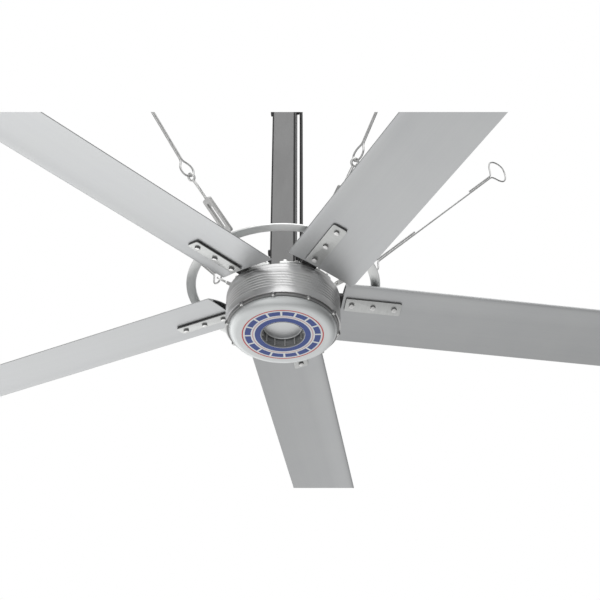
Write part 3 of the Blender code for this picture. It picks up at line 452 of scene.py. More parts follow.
# A Principled material with the few tools that these surfaces need
class Surface:
    def __init__(self, name, metallic=0.0):
        self.material = bpy.data.materials.new(name)
        self.material.use_nodes = True
        self.tree = self.material.node_tree
        self.shader = self.tree.nodes["Principled BSDF"]
        self.shader.inputs["Metallic"].default_value = metallic

    # A node of this material
    def add(self, kind, inputs=(), output=0, **settings):
        return joinNode(self.tree, kind, inputs, output, **settings)

    # The point's place before its piece was moved, or in the object's own frame
    def place(self, own=True):
        if own:
            vector = self.add("ShaderNodeAttribute", output="Vector", attribute_name="local")
        else:
            vector = self.add("ShaderNodeTexCoord", output="Object")
        return split(self.tree, vector)

    # A noise texture's value at a point
    def noise(self, x, y, z, scale=1.0, detail=2.0, roughness=0.5):
        vector = self.add("ShaderNodeCombineXYZ", [x, y, z])
        inputs = {"Vector": vector, "Scale": scale, "Detail": detail, "Roughness": roughness}
        return self.add("ShaderNodeTexNoise", inputs)

    # A colour from low to high: both are wires or tuples of red, green, blue and alpha
    def mix(self, share, low, high):
        return self.add("ShaderNodeMix", {0: share, 6: low, 7: high}, output=2, data_type="RGBA")

    # A colour from dark to light, both of red, green and blue
    def blend(self, share, dark, light):
        return self.mix(share, (*dark, 1.0), (*light, 1.0))

    # Links the colour, the roughness and a relief of a depth in metres
    def finish(self, colour, rough, relief, depth, strength):
        normal = self.add("ShaderNodeBump", {"Height": relief, "Distance": depth, "Strength": strength})
        for name, wire in (("Base Color", colour), ("Roughness", rough), ("Normal", normal)):
            self.tree.links.new(wire.socket, self.shader.inputs[name])
        return self.material


# Metal brushed round the axis that it was turned on: noise by distance from the Z axis and angle round it
def spunMetal(name, dark, light, roughness):
    made = Surface(name, 1.0)
    x, y, z = made.place()
    radius, angle = (x * x + y * y) ** 0.5, x.maths("ARCTAN2", y, x)
    fine = made.noise(radius * 900, angle * 5, z * 900, detail=3)
    broad = made.noise(x, y, z, scale=18, detail=3)
    tone = (fine * 0.6 + broad * 0.4).between(0.3, 0.7)
    rough = fine * 0.16 + broad * 0.1 + (roughness - 0.13)
    return made.finish(made.blend(tone, dark, light), rough, fine, 0.00004, 0.35)


# Metal with fine lines along X, as from an extrusion's die, and a faint cloudiness
def drawnMetal(name, dark, light, roughness):
    made = Surface(name, 1.0)
    x, y, z = made.place()
    lines = made.noise(x * 2.5, y * 700, z * 300, detail=3)
    bands = made.noise(x * 0.6, y * 45, z * 20, detail=2)
    cloud = made.noise(x, y, z, scale=7, detail=4)
    tone = (lines * 0.3 + bands * 0.2 + cloud * 0.5).between(0.25, 0.75)
    rough = lines * 0.08 + cloud * 0.12 + (roughness - 0.1)
    return made.finish(made.blend(tone, dark, light), rough, lines, 0.00001, 0.2)


# Plated or blackened steel with small blotches and fine handling marks
def platedMetal(name, dark, light, roughness, own=True, metallic=1.0):
    made = Surface(name, metallic)
    x, y, z = made.place(own)
    blotch = made.noise(x, y, z, scale=160, detail=4, roughness=0.6)
    marks = made.noise(x * 900, y * 120, z * 900, detail=2)
    tone = (blotch * 0.7 + marks * 0.3).between(0.34, 0.66)
    rough = blotch * 0.18 + marks * 0.08 + (roughness - 0.13)
    return made.finish(made.blend(tone, dark, light), rough, blotch, 0.00005, 0.3)


# Metal that is bright on its lower face, and painted dark just above it on its sides as shade
def sideShadedMetal(name, face, dark, light, roughness):
    made = Surface(name, 1.0)
    x, y, z = made.place()
    scratch = made.noise(x * 260, y * 40, z * 260, detail=3)
    cloud = made.noise(x, y, z, scale=60, detail=4)
    tone = (scratch * 0.5 + cloud * 0.5).between(0.3, 0.7)
    # Painted shade: this mask is 1 on the sides, from just above the lower face
    side = z.between(face + 0.0003, face + 0.0009)
    bright = made.add("ShaderNodeCombineColor", [tone * (b - a) + a for a, b in zip(dark, light)])
    # A dark grey of painted shade that replaces the metal's tone on the sides
    paintedShade = made.add("ShaderNodeCombineColor", [cloud * 0.06 + 0.17] * 3)
    rough = cloud * 0.16 + scratch * 0.08 + (roughness - 0.12) + side * 0.15
    return made.finish(made.mix(side, bright, paintedShade), rough, scratch, 0.00003, 0.3)


# Powder coat or paint: a fine orange peel, a grain of flakes and soft smudges
def paint(name, dark, light, roughness, metallic=0.0, grain=700, depth=0.00008):
    made = Surface(name, metallic)
    x, y, z = made.place()
    peel = made.noise(x, y, z, scale=grain, detail=2)
    flake = made.noise(x, y, z, scale=2600, detail=1)
    smudge = made.noise(x, y, z, scale=11, detail=4)
    tone = (flake * 0.35 + peel * 0.2 + smudge * 0.45).between(0.32, 0.68)
    rough = peel * 0.08 + smudge * 0.14 + (roughness - 0.11)
    return made.finish(made.blend(tone, dark, light), rough, peel, depth, 0.4)


# Paint on a square tube whose rounded corners are painted dark as shade
def tubePaintWithShadedCorners(name, half, corner):
    made = Surface(name, 0.2)
    x, y, z = made.place()
    peel = made.noise(x, y, z, scale=700, detail=2)
    smudge = made.noise(x * 14, y * 14, z * 5, detail=4)
    off = x.maths("ABSOLUTE", x) + y.maths("ABSOLUTE", y)
    # Painted shade: the colour falls to near black where the tube's corners round off
    flat = 1.0 - off.between(2 * half - corner * 0.98, 2 * half - corner * 0.75)
    tone = (peel * 0.3 + smudge * 0.7).between(0.3, 0.7) * flat * 0.25 + 0.75 * flat
    colour = made.blend(tone, (0.03, 0.03, 0.03), (0.29, 0.29, 0.29))
    return made.finish(colour, peel * 0.08 + smudge * 0.14 + 0.4, peel, 0.00006, 0.4)


# Thin layers across Z, as of laminations or windings, with blotches
def layered(name, dark, light, roughness, count):
    made = Surface(name, 0.9)
    x, y, z = made.place(False)
    layers = z.maths("SINE", z * count) * 0.5 + 0.5
    blotch = made.noise(x, y, z, scale=120, detail=4)
    tone = (layers * 0.5 + blotch * 0.5).between(0.2, 0.8)
    rough = blotch * 0.2 + (roughness - 0.1)
    return made.finish(made.blend(tone, dark, light), rough, layers, 0.0002, 0.5)


# Strands of bare steel with grime between them
def ropeSteel(name):
    made = Surface(name, 1.0)
    x, y, z = made.place()
    grime = made.noise(x, y, z, scale=90, detail=4)
    hair = made.noise(x * 1500, y * 1500, z * 1500, detail=1)
    tone = (grime * 0.6 + hair * 0.4).between(0.3, 0.7)
    colour = made.blend(tone, (0.5, 0.5, 0.5), (0.72, 0.72, 0.71))
    return made.finish(colour, grime * 0.2 + hair * 0.15 + 0.16, hair, 0.00005, 0.4)


# Black plastic with a grain, rubbed along its length
def sheathPlastic(name):
    made = Surface(name)
    x, y, z = made.place()
    grain = made.noise(x, y, z, scale=900, detail=2)
    rub = made.noise(x * 60, y * 60, z * 4, detail=3)
    tone = (grain * 0.3 + rub * 0.7).between(0.35, 0.7)
    colour = made.blend(tone, (0.012, 0.012, 0.012), (0.045, 0.045, 0.045))
    return made.finish(colour, rub * 0.25 + grain * 0.1 + 0.22, grain, 0.00006, 0.4)


# Each maker takes a name, the dark and the light tone and the middle roughness
surfaces = {
    "shell": spunMetal("spun_aluminium", (0.62, 0.62, 0.62), (0.7, 0.7, 0.7), 0.38),
    # The shell's spun aluminium, painted darker to stand in for the shade under the shell
    "flange": spunMetal("shaded_flange_aluminium", (0.23, 0.23, 0.23), (0.31, 0.31, 0.31), 0.42),
    "disc": spunMetal("disc_aluminium", (0.76, 0.77, 0.77), (0.86, 0.87, 0.87), 0.42),
    "blade": drawnMetal("drawn_aluminium", (0.6, 0.61, 0.62), (0.66, 0.67, 0.67), 0.41),
    "foot": drawnMetal("foot_aluminium", (0.64, 0.65, 0.64), (0.76, 0.77, 0.76), 0.36),
    "ring": drawnMetal("ring_aluminium", (0.8, 0.81, 0.8), (0.89, 0.9, 0.89), 0.38),
    "steel": platedMetal("zinc_plate", (0.63, 0.63, 0.62), (0.76, 0.76, 0.75), 0.3),
    "bright": platedMetal("bright_steel", (0.78, 0.78, 0.77), (0.93, 0.93, 0.92), 0.22),
    "dark": platedMetal("black_steel", (0.02, 0.02, 0.02), (0.055, 0.055, 0.055), 0.42, metallic=0.5),
    "cap": paint("cap_paint", (0.7, 0.72, 0.72), (0.78, 0.8, 0.8), 0.36, metallic=0.8, depth=0.00003),
    "rod": paint("rod_paint", (0.24, 0.24, 0.24), (0.29, 0.29, 0.29), 0.5),
    "black": paint("black_plastic_grain", (0.012, 0.012, 0.012), (0.028, 0.028, 0.028), 0.46),
    "cup": paint("cup_plastic", (0.17, 0.173, 0.178), (0.235, 0.24, 0.245), 0.34, metallic=0.3),
    "rib": paint("rib_plastic", (0.5, 0.5, 0.5), (0.62, 0.62, 0.62), 0.34, metallic=0.3),
    "rope": ropeSteel("wire_rope"),
    "sheath": sheathPlastic("cable_sheath"),
}


# Camera, floor and surroundings
def makeCamera():
    view = {
        "lens": 73.4, "sensor": 36.0, "place": (0.0, -2.5475, -3.0679), "pitch": 0.6614, "yaw": 0.0174,
        "near": 0.02, "far": 200,
    }
    camera = linked("camera", bpy.data.cameras.new("camera"))
    camera.data.lens, camera.data.sensor_width = view["lens"], view["sensor"]
    camera.data.clip_start, camera.data.clip_end = view["near"], view["far"]
    pitch, yaw = pick(view, "pitch", "yaw")
    ahead = Vector((math.sin(yaw) * math.cos(pitch), math.cos(yaw) * math.cos(pitch), math.sin(pitch)))
    camera.location = view["place"]
    camera.rotation_euler = ahead.to_track_quat("-Z", "Y").to_euler()
    bpy.context.scene.camera = camera
    bpy.context.view_layer.update()
    return camera


# A colour of three equal levels
def grey(tree, level):
    return joinNode(tree, "ShaderNodeCombineColor", [level, level, level])


# A pale surface that shows its own colour, and with near only to a camera that is as close as that
def glowing(name, low, high, reach, near=None):
    material = bpy.data.materials.new(name)
    material.use_nodes = True
    tree = material.node_tree
    tree.nodes.remove(tree.nodes["Principled BSDF"])
    place = joinNode(tree, "ShaderNodeTexCoord", output="Object")
    distance = joinNode(tree, "ShaderNodeVectorMath", [place], output="Value", operation="LENGTH")
    level = distance.between(0, reach) * (high - low) + low
    emission = joinNode(tree, "ShaderNodeEmission", {"Color": grey(tree, level)})
    if near:
        length = joinNode(tree, "ShaderNodeLightPath", output="Ray Length")
        clear = joinNode(tree, "ShaderNodeBsdfTransparent")
        hidden = length.between(near, near * 1.01)
        emission = joinNode(tree, "ShaderNodeMixShader", [hidden, emission, clear])
    tree.links.new(emission.socket, tree.nodes["Material Output"].inputs["Surface"])
    return material


# A flat face of the stage, which changes no light on the object
def stagePlane(name, corners, material):
    mesh = bpy.data.meshes.new(name)
    mesh.from_pydata(corners, [], [(0, 1, 2, 3)])
    mesh.materials.append(material)
    made = linked(name, mesh)
    for kind in ("diffuse", "glossy", "transmission", "volume_scatter", "shadow"):
        setattr(made, f"visible_{kind}", False)


# A pale floor far below, and the two white bands that close the photograph above and below
def makeStage(camera):
    stage = {
        "floor": -9.0, "reach": 60.0, "levels": (0.84, 1.0),
        "card": 0.12, "frame": 600, "bands": (112, 488), "spare": 1.1,
    }
    reach, low = pick(stage, "reach", "floor")
    corners = [(x, y, low) for x, y in oblong(-reach, reach, -reach, reach)]
    stagePlane("floor", corners, glowing("pale_floor", *stage["levels"], reach * 0.5))
    half = stage["card"] * camera.data.sensor_width / 2 / camera.data.lens
    wide = half * stage["spare"]
    white = glowing("white_card", 1.0, 1.0, 1.0, near=stage["card"] * 2)
    for i, row in enumerate(stage["bands"]):
        edge = half * (1 - 2 * row / stage["frame"])
        far = math.copysign(wide, edge)
        corners = oblong(-wide, wide, edge, far)
        places = [camera.matrix_world @ Vector((x, y, -stage["card"])) for x, y in corners]
        stagePlane(f"band_{i + 1}", places, white)


# White to the camera. To the object a grey room by direction: X is the photograph's right, -Y its front
# Shade: below where Z is down, above where it is up, plus a broad soft light high in front
def makeWorld():
    light = {"behind": 1.26, "front": 0.28, "above": 0.21, "softbox": 1.65, "least": 0.05}
    world = bpy.data.worlds.new("world")
    bpy.context.scene.world = world
    world.use_nodes = True
    tree = world.node_tree
    tree.nodes.clear()
    x, y, z = split(tree, joinNode(tree, "ShaderNodeTexCoord", output="Generated"))
    level = (x * x + y * y + 0.0001) ** 0.5  # never quite 0
    front = -1.0 * y / level
    behind = (-1.0 * front).between(-0.2, 0.8)
    right = x.maths("MAXIMUM", x, 0.0)
    # Behind the object it darkens downwards and to the right; in front it is darker throughout
    below = (light["behind"] + 0.75 * z - 0.5 * x - 1.6 * right * (z + 0.68)) * behind
    ahead = light["front"] - 0.12 * x + (0.48 - 0.25 * x) * front.between(0.2, 0.9)
    below = below + ahead * (1.0 - behind)
    above = light["above"] + (0.4 + 0.2 * x) * behind + 0.4 * z.between(0.72, 0.98)
    softbox = front.between(0.22, 1.05) * z.between(0.15, 0.5) * (1.0 - 0.6 * z.between(0.75, 0.95))
    up = z.between(-0.06, 0.1)
    shade = below * (1.0 - up) + above * up + softbox * light["softbox"]
    seen = joinNode(tree, "ShaderNodeLightPath", output="Is Camera Ray")
    level = seen + x.maths("MAXIMUM", shade, light["least"]) * (1.0 - seen)
    background = joinNode(tree, "ShaderNodeBackground", {"Color": grey(tree, level), "Strength": 1.0})
    tree.links.new(background.socket, tree.nodes.new("ShaderNodeOutputWorld").inputs["Surface"])


makeStage(makeCamera())
makeWorld()
bpy.context.scene.view_settings.view_transform = "Standard"
print("camera, floor and surroundings made")


# Guy wires and the power cable
# The points of a cord's path at its place; they are worked out and then dropped
def taut(path, place):
    line = [place @ Vector(p) for p in path]


# Steel ropes of six strands: the rope's radius rises and falls six times round, turned along its length
# The route is (along, above): from the near splice round the loop in the eye, then out round the far loop
def guyWires():
    wire = {
        "width": 0.004, "radius": 0.0027, "strands": 6, "dip": 0.16, "lay": 0.03,
        "curveSteps": 6, "step": 0.003, "sides": 24, "half": 0.003,
        "nearLoop": (
            (0.059, 0.0031), (0.051, 0.005), (0.0445, 0.0105), (0.037, 0.0168),
            (0.027, 0.0205), (0.016, 0.0195), (0.007, 0.012), (0.0034, 0.0),
        ),
        "farLoop": (
            (0.908, 0.0032), (0.919, 0.0068), (0.929, 0.015), (0.944, 0.03),
            (0.966, 0.04), (0.99, 0.035), (1.009, 0.018), (1.016, 0.0),
        ),
        "start": (0.307, 0.19, 0.07),
        "middle": (0.07, 0.23, 0.39, 0.56, 0.73, 0.89),
        "finish": (0.89, 0.81, 0.732),
    }
    near, far, half = pick(wire, "nearLoop", "farLoop", "half")
    route = [(along, half) for along in wire["start"]]
    route += [*near, *[(along, -above) for along, above in near[-2::-1]]]
    route += [(along, -half) for along in wire["middle"]]
    route += [*[(along, -above) for along, above in far], *far[-2::-1]]
    route += [(along, half) for along in wire["finish"]]
    curve = smoothRoute([(along, 0, above) for along, above in route], wire["curveSteps"])
    path, length = evenly(curve, wire["step"])
    along = np.arange(len(path))[:, None] * wire["step"]
    twist = fullTurn(wire["sides"]) - math.tau * along / wire["lay"]
    wave = np.abs(np.sin(wire["strands"] / 2 * twist))
    shape = sweep(path, wire["radius"] * (1 - wire["dip"] + wire["dip"] * wave), wire["sides"])
    for i, place in enumerate(wirePlaces):
        node, body = f"guy_wire_{i + 1}", f"guy_end_{i + 1}"
        rope = piece(f"{node}_rope", shape, place, surfaces["rope"], body, node, sharp=60)
        taut(path, place)


# The black sheath: a circle carried from the gland up the downrod and over to the terminal box
def powerCable():
    cable = {
        "low": 0.1903, "bend": 0.95, "high": 1.1324, "over": 0.0845, "straightSteps": 4,
        "curveSteps": 8, "step": 0.004, "sides": 32,
        "shares": ((0, 0), (0.22, 0.047), (0.44, 0.295), (0.64, 0.713), (0.82, 0.961), (0.92, 1), (1, 1)),
    }
    side, back, low, bend = fan["cableSide"], fan["cableBack"], cable["low"], cable["bend"]
    steps = cable["straightSteps"]
    points = [(side, back, low + (bend - low) * i / steps) for i in range(steps)]
    for up, across in cable["shares"]:
        points.append((side + (cable["over"] - side) * across, back, bend + (cable["high"] - bend) * up))
    path, length = evenly(smoothRoute(points, cable["curveSteps"]), cable["step"])
    shape = sweep(path, fan["cableRadius"], cable["sides"])
    made = standing("cable_sheath", shape, "sheath", "power_cable")
    taut(path, rodPlace)


guyWires()
powerCable()
print("cords made")


# Turning side
# A profile spun about Z. Groove: radius - depth * (1 + cos(2 pi * distance from its middle / width)) / 2
def housingShell():
    shell = {
        "radius": 0.15, "wall": 0.01, "low": 0.0246, "high": 0.1056, "edge": 0.0003,
        "grooves": 6, "first": 0.0214, "spacing": 0.00856, "width": 0.003, "depth": 0.001, "steps": 10,
    }
    rows = []
    for i in range(shell["grooves"]):
        middle = shell["low"] + shell["first"] + shell["spacing"] * i
        for share in np.linspace(-0.5, 0.5, shell["steps"] + 1):
            dip = shell["depth"] * (1 + math.cos(math.tau * share)) / 2
            rows.append((shell["radius"] - dip, middle + shell["width"] * share))
    inner, low, high = shell["radius"] - shell["wall"], shell["low"], shell["high"]
    outer = rim(shell["radius"], low, high, shell["edge"], 4, between=rows)
    profile = [(inner, low), *outer, (inner, high)]
    turning("shell", lathe(profile, 192), "shell", "brushed_aluminium", "housing_shell")


# The lid, and the studs and nuts that hold the arms' curved feet down on it
def topCover():
    cover = {
        "seat": 0.0316, "radius": 0.15, "low": 0.1059, "high": 0.1187, "edge": 0.005, "lip": 0.0004,
        "seatEdge": 0.0006, "spigot": 0.1397, "spigotInner": 0.1317, "spigotLow": 0.1019,
        "studCircle": 0.1385, "studAngles": (-25, -13, 13, 25), "studRadius": 0.004, "studHigh": 0.1345,
        "nutRadius": 0.0073, "nutLow": 0.1273, "nutHigh": 0.1338,
    }
    radius, low, high, lip = pick(cover, "radius", "low", "high", "lip")
    profile = [
        *stair((cover["seat"], low), cover["spigotInner"], cover["spigotLow"], cover["spigot"], low),
        (radius - lip, low),
        (radius, low + lip),
        *quarter(radius, high, cover["edge"], 8),
        *quarter(cover["seat"], high, cover["seatEdge"], 2, inward=True)[::-1],
    ]
    turning("cover", lathe(profile, 160), "shell", "brushed_aluminium", "top_cover")
    nut = hexHead(cover["nutRadius"], cover["nutLow"], cover["nutHigh"], sides=48)
    fastener = joined([nut, thread(cover["studRadius"], high, cover["studHigh"])])
    angles = [math.radians(a) for a in cover["studAngles"]]
    shape = joined([onCircle(fastener, cover["studCircle"], fan["bladeCount"], a) for a in angles])
    turning("cover_nuts", shape, "steel", "zinc_steel", "top_cover")


# The lobed plate under the shell, the collar that holds the lower bearing, and the screws
def flangeCover():
    flange = {
        "radius": 0.146, "lip": 0.1405, "low": 0.0183, "high": 0.0243,
        "edgeLow": 0.002, "edgeHigh": 0.0002, "lobes": 10, "lobeRadius": 0.006,
        "circle": 0.1455, "first": math.radians(-0.4), "sides": 720, "inner": 0.0605, "collar": 0.064,
        "collarLow": 0.0213, "webLow": 0.0375, "webHigh": 0.0415,
        "seat": 0.0316, "seatWall": 0.005, "seatHigh": 0.0488,
    }

    # How far the plate reaches beyond its radius: each lobe is a circle about its screw
    def lobed(angles):
        share = math.tau / flange["lobes"]
        away = (angles - flange["first"] + share / 2) % share - share / 2
        square = flange["lobeRadius"] ** 2 - (flange["circle"] * np.sin(away)) ** 2
        reach = flange["circle"] * np.cos(away) + np.sqrt(np.maximum(square, 0))
        return np.maximum(np.where(square > 0, reach, 0) - flange["radius"], 0)

    inner, low, high, seat, wall = pick(flange, "inner", "low", "high", "seat", "seatWall")
    edge = quarter(flange["radius"], low, flange["edgeLow"], 5, below=True)[::-1]
    edge += quarter(flange["radius"], high, flange["edgeHigh"], 3)
    profile = [(inner, low), (flange["lip"], low), *edge, (flange["lip"], high), (inner, high)]
    plate = lathe(profile, flange["sides"], swell=(lobed, [0, 0, *[1] * len(edge), 0, 0]))
    webLow, webHigh, seatHigh = flange["webLow"], flange["webHigh"], flange["seatHigh"]
    collar = [flange["collar"], webHigh, seat + wall, seatHigh, seat, webHigh, seat - wall, webLow, inner]
    collar = stair((inner, flange["collarLow"]), *collar)
    turning("flange", joined([plate, lathe(collar, 96)]), "flange", "brushed_aluminium", "flange_cover")
    screw = {
        "radius": 0.004, "height": 0.0026, "round": 1.15, "neck": 0.0005,
        "socket": 0.0015, "depth": 0.0012, "shank": 0.002, "high": 0.0336,
    }
    head, radius = low - screw["height"], screw["radius"]
    angles = np.linspace(screw["round"], 0, 7)
    dome = [(radius * math.cos(a), low - screw["height"] * math.sin(a)) for a in angles]
    shank = stair((radius, low + screw["neck"]), screw["shank"], screw["high"], 0)
    profile = [*stair((0, head + screw["depth"]), screw["socket"], head), *dome, *shank]
    shape = onCircle(lathe(profile, 32, closed=False), flange["circle"], flange["lobes"], flange["first"])
    turning("flange_screws", shape, "bright", "brushed_aluminium", "flange_cover")


# A profile spun about Z. Shoulder: a quarter of an ellipse from the flat face up to the rim
def bottomCap():
    cap = {
        "window": 0.057, "flat": 0.1185, "radius": 0.1405, "height": 0.018, "wall": 0.0035,
        "lip": 0.001, "edge": 0.0006, "steps": 18, "label": (0.0575, 0.108), "recess": 0.0003,
    }
    flat, radius, height, wall, lip = pick(cap, "flat", "radius", "height", "wall", "lip")
    profile = [
        *quarter(cap["window"], 0.0, cap["edge"], 4, inward=True, below=True),
        *zip(np.repeat(cap["label"], 2), (0.0, cap["recess"], cap["recess"], 0.0)),
        *[
            (flat + (radius - flat) * math.sin(a), height * (1 - math.cos(a)))
            for a in np.linspace(0, math.pi / 2, cap["steps"] + 1)
        ],
        (radius - lip, height),
        (radius - wall, height - lip),
        (flat, wall),
        (cap["window"], wall),
    ]
    turning("cap", lathe(profile, 192), "cap", "silver_paint", "bottom_cap")


# A printed ring label let into the cap: plain rings and between them a ring of separate blocks
def capLabel():
    label = {
        "low": 0.00004, "high": 0.0003, "print": 0.00004,
        "plate": (0.0576, 0.1078), "blueInner": (0.0579, 0.0726), "rose": (0.0768, 0.079),
        "blocks": (0.0832, 0.0984), "red": (0.1028, 0.1062),
        "count": 16, "between": math.radians(3.4), "steps": 12, "sides": 256,
        "ink": {"roughness": 0.38, "grain": 1400, "depth": 0.00002},
    }
    prints = label["low"] - label["print"], label["low"] + label["print"]

    # A rectangle of two radii and two heights, spun about Z
    def band(edges, low, high):
        return lathe(stair((edges[0], low), edges[1], high, edges[0]), label["sides"])

    half = (math.tau / label["count"] - label["between"]) / 2
    arc = ray(np.linspace(-half, half, label["steps"] + 1))
    block = prism(np.vstack([label["blocks"][1] * arc, label["blocks"][0] * arc[::-1]]), *prints)
    blue = joined([band(label["blueInner"], *prints), copies(block, around(label["count"]))])
    inks = (
        ("label_blue", blue, (0.04, 0.075, 0.29), (0.06, 0.105, 0.37)),
        ("label_rose", band(label["rose"], *prints), (0.6, 0.3, 0.33), (0.7, 0.36, 0.39)),
        ("label_red", band(label["red"], *prints), (0.6, 0.08, 0.085), (0.7, 0.12, 0.12)),
    )
    plate = band(label["plate"], label["low"], label["high"])
    turning("label_plate", plate, "cap", "silver_paint", "bottom_cap")
    for name, shape, dark, light in inks:
        surfaces[name] = paint(f"{name}_ink", dark, light, **label["ink"])
        turning(name, shape, name, "silver_paint", "bottom_cap")


# The dark ribbed well behind the cap's window and the plain silver disc at its bottom
# Face of the disc: low - dome * (1 - share ^ 2), at a share of its inner radius
def badge():
    cup = {
        "inside": 0.0537, "outside": 0.0567, "low": 0.0003, "floor": 0.027, "depth": 0.03,
        "rim": 0.0597, "rimLow": 0.0038, "rimHigh": 0.0068, "step": 0.0009, "stepLow": 0.0125,
        "ribs": 12, "ribDepth": 0.003, "ribHalf": 0.0012, "ribLow": 0.0033, "ribHigh": 0.0285,
        "ribCorner": 0.0008, "ribEdge": 0.0003,
    }
    inside, outside, step, half = pick(cup, "inside", "outside", "step", "ribHalf")
    outer = (outside, cup["rimLow"], cup["rim"], cup["rimHigh"], outside, cup["depth"])
    profile = stair((inside + step, cup["low"]), *outer, 0, cup["floor"], inside, cup["stepLow"] + step)
    profile.append((inside + step, cup["stepLow"]))
    turning("cup", lathe(profile), "cup", "black_plastic", "badge_cup")
    near, far, corner = inside - cup["ribDepth"], inside + step * 2, cup["ribCorner"]
    outline = rounded(oblong(near, far, -half, half), (corner, 0, 0, corner))
    rib = prism(outline, cup["ribLow"], cup["ribHigh"], cup["ribEdge"])
    shape = copies(rib, around(cup["ribs"], math.pi / cup["ribs"]))
    turning("cup_ribs", shape, "rib", "black_plastic", "badge_cup")
    plate = {
        "radius": 0.0504, "high": 0.0267, "low": 0.0242, "dome": 0.0008,
        "rim": 0.0025, "rimLow": 0.023, "edge": 0.0004, "innerEdge": 0.0003, "faceSteps": 8,
    }
    radius, low, edge = pick(plate, "radius", "rimLow", "edge")
    inner = radius - plate["rim"]
    shares = np.linspace(0, 1, plate["faceSteps"] + 1)
    profile = [
        *[(inner * t, plate["low"] - plate["dome"] * (1 - t**2)) for t in shares],
        (inner, low + plate["innerEdge"]), (inner + edge, low), (radius - edge, low), (radius, low + edge),
        (radius, plate["high"]), (0, plate["high"]),
    ]
    turning("disc", lathe(profile, closed=False), "disc", "silver_paint", "badge_disc")


# The blade's section: lead and chord are measured along Y, which runs from the leading edge backwards
wing = {
    "shares": (1.4845, -0.63, -1.758, 1.4215, -0.518), "powers": (0.5, 1, 2, 3, 4), "thickness": 0.022,
    "camber": 0.0115, "camberPlace": 0.35, "tail": 0.0025, "drop": 0.0055,
    "lead": 0.0657, "chord": 0.1912, "tailRound": 0.0005,
}
alongBlade = turn("Z", math.pi / 2) @ uprightX


# The heights of the blade's upper and lower skin at a share of its chord
# Camber: a parabola up to its highest place and another behind it; half: a sum of shares * share ^ power
def bladeHeights(share):
    place = wing["camberPlace"]
    ahead = wing["camber"] / place**2 * (2 * place * share - share**2)
    behind = wing["camber"] / (1 - place) ** 2 * (1 - 2 * place + 2 * place * share - share**2)
    camber = np.where(share < place, ahead, behind) - wing["drop"]
    half = wing["thickness"] * sum(s * share**p for s, p in zip(wing["shares"], wing["powers"]))
    half = half + wing["tail"] / 2 * share
    return camber + half, camber - half


# The blade's outline of (Y, height), anticlockwise
def bladeSection(steps, grow=0.0):
    shares = (1 - np.cos(np.linspace(0, math.pi, steps + 1))) / 2
    high, low = bladeHeights(shares)
    y = shares * wing["chord"] - wing["lead"]
    tip = [[y[-1], low[-1]], [y[-1] + wing["tailRound"], (high[-1] + low[-1]) / 2]]
    top, bottom = np.column_stack([y, high])[::-1], np.column_stack([y, low])[1:-1]
    outline = np.vstack([top[:-1], [[y[0], high[0]]], bottom, tip])
    return inset(outline, -grow) if grow else outline


# Five hollow extrusions of one wing section, closed at the tip by a moulded cap
def blades():
    blade = {
        "root": 0.158, "end": 1.4957, "tip": 1.496, "reach": 1.5, "wall": 0.002,
        "channelHalf": 0.0203, "channelLow": -0.00306, "channelHigh": 0.01393, "cavities": (0.05, 0.86),
        "steps": 44, "cavitySteps": 14, "margin": 0.0012, "edge": 0.0009,
        "plug": 0.03, "plugGap": 0.0003, "overlap": 0.001,
    }
    half, low, high = pick(blade, "channelHalf", "channelLow", "channelHigh")

    # The skin's heights less the wall, from start to end along the chord
    def cavity(start, end):
        y = np.linspace(start, end, blade["cavitySteps"])
        above, below = bladeHeights((y + wing["lead"]) / wing["chord"])
        top = np.column_stack([y, above - blade["wall"]])[::-1]
        return np.vstack([top, np.column_stack([y, below + blade["wall"]])])

    # The channel's corners, each side drawn in by a gap
    def box(gap):
        x, bottom, top = half - gap, low + gap, high - gap
        return [(x, top), (-x, top), (-x, bottom), (x, bottom)]

    web = half + blade["wall"]
    start, end = (share * wing["chord"] - wing["lead"] for share in blade["cavities"])
    outlines = [bladeSection(blade["steps"]), cavity(start, -web), box(0.0), cavity(web, end)]
    skin = moved(extruded(outlines, blade["root"], blade["end"]), alongBlade)
    tipStart = blade["tip"]
    cap = prism(bladeSection(blade["steps"], blade["margin"]), tipStart, blade["reach"], blade["edge"])
    plug = extruded([box(blade["plugGap"])], tipStart - blade["plug"], tipStart + blade["overlap"])
    tip = moved(joined([cap, plug]), alongBlade)
    onBlades(
        ("skin", skin, "blade", "anodised_aluminium", "blade", 40),
        ("tip", tip, "cap", "silver_paint", "tip_cap"),
    )


# Black steel arms: a curved foot, level on the motor's lid, and a pitched bar into the blade
def bladeArms():
    arm = {
        "inner": 0.074, "outer": 0.147, "half": math.radians(31), "low": 0.119, "high": 0.127,
        "corner": 0.006, "steps": 24, "edge": 0.001, "barStart": 0.095, "barEnd": 0.312,
        "barHalf": 0.02, "barLow": -0.00276, "barHigh": 0.01363, "barCorner": 0.0025,
    }
    steps, low, high, half = pick(arm, "steps", "barLow", "barHigh", "barHalf")
    arc = ray(np.linspace(-arm["half"], arm["half"], steps + 1))
    outline = np.vstack([arm["outer"] * arc, arm["inner"] * arc[::-1]])
    corners = np.zeros(len(outline))
    corners[[0, steps, steps + 1, -1]] = arm["corner"]
    foot = prism(rounded(outline, corners), arm["low"], arm["high"], arm["edge"])
    section = rounded(oblong(-half, half, low, high), arm["barCorner"])
    bar = moved(prism(section, arm["barStart"], arm["barEnd"], arm["edge"]), alongBlade)
    foot = moved(foot, bladePlaces[0].inverted() @ rotorPlace)
    onBlades(
        ("arm", bar, "dark", "dark_steel", "blade_arm"),
        ("arm_foot", foot, "foot", "dark_steel", "blade_arm"),
    )


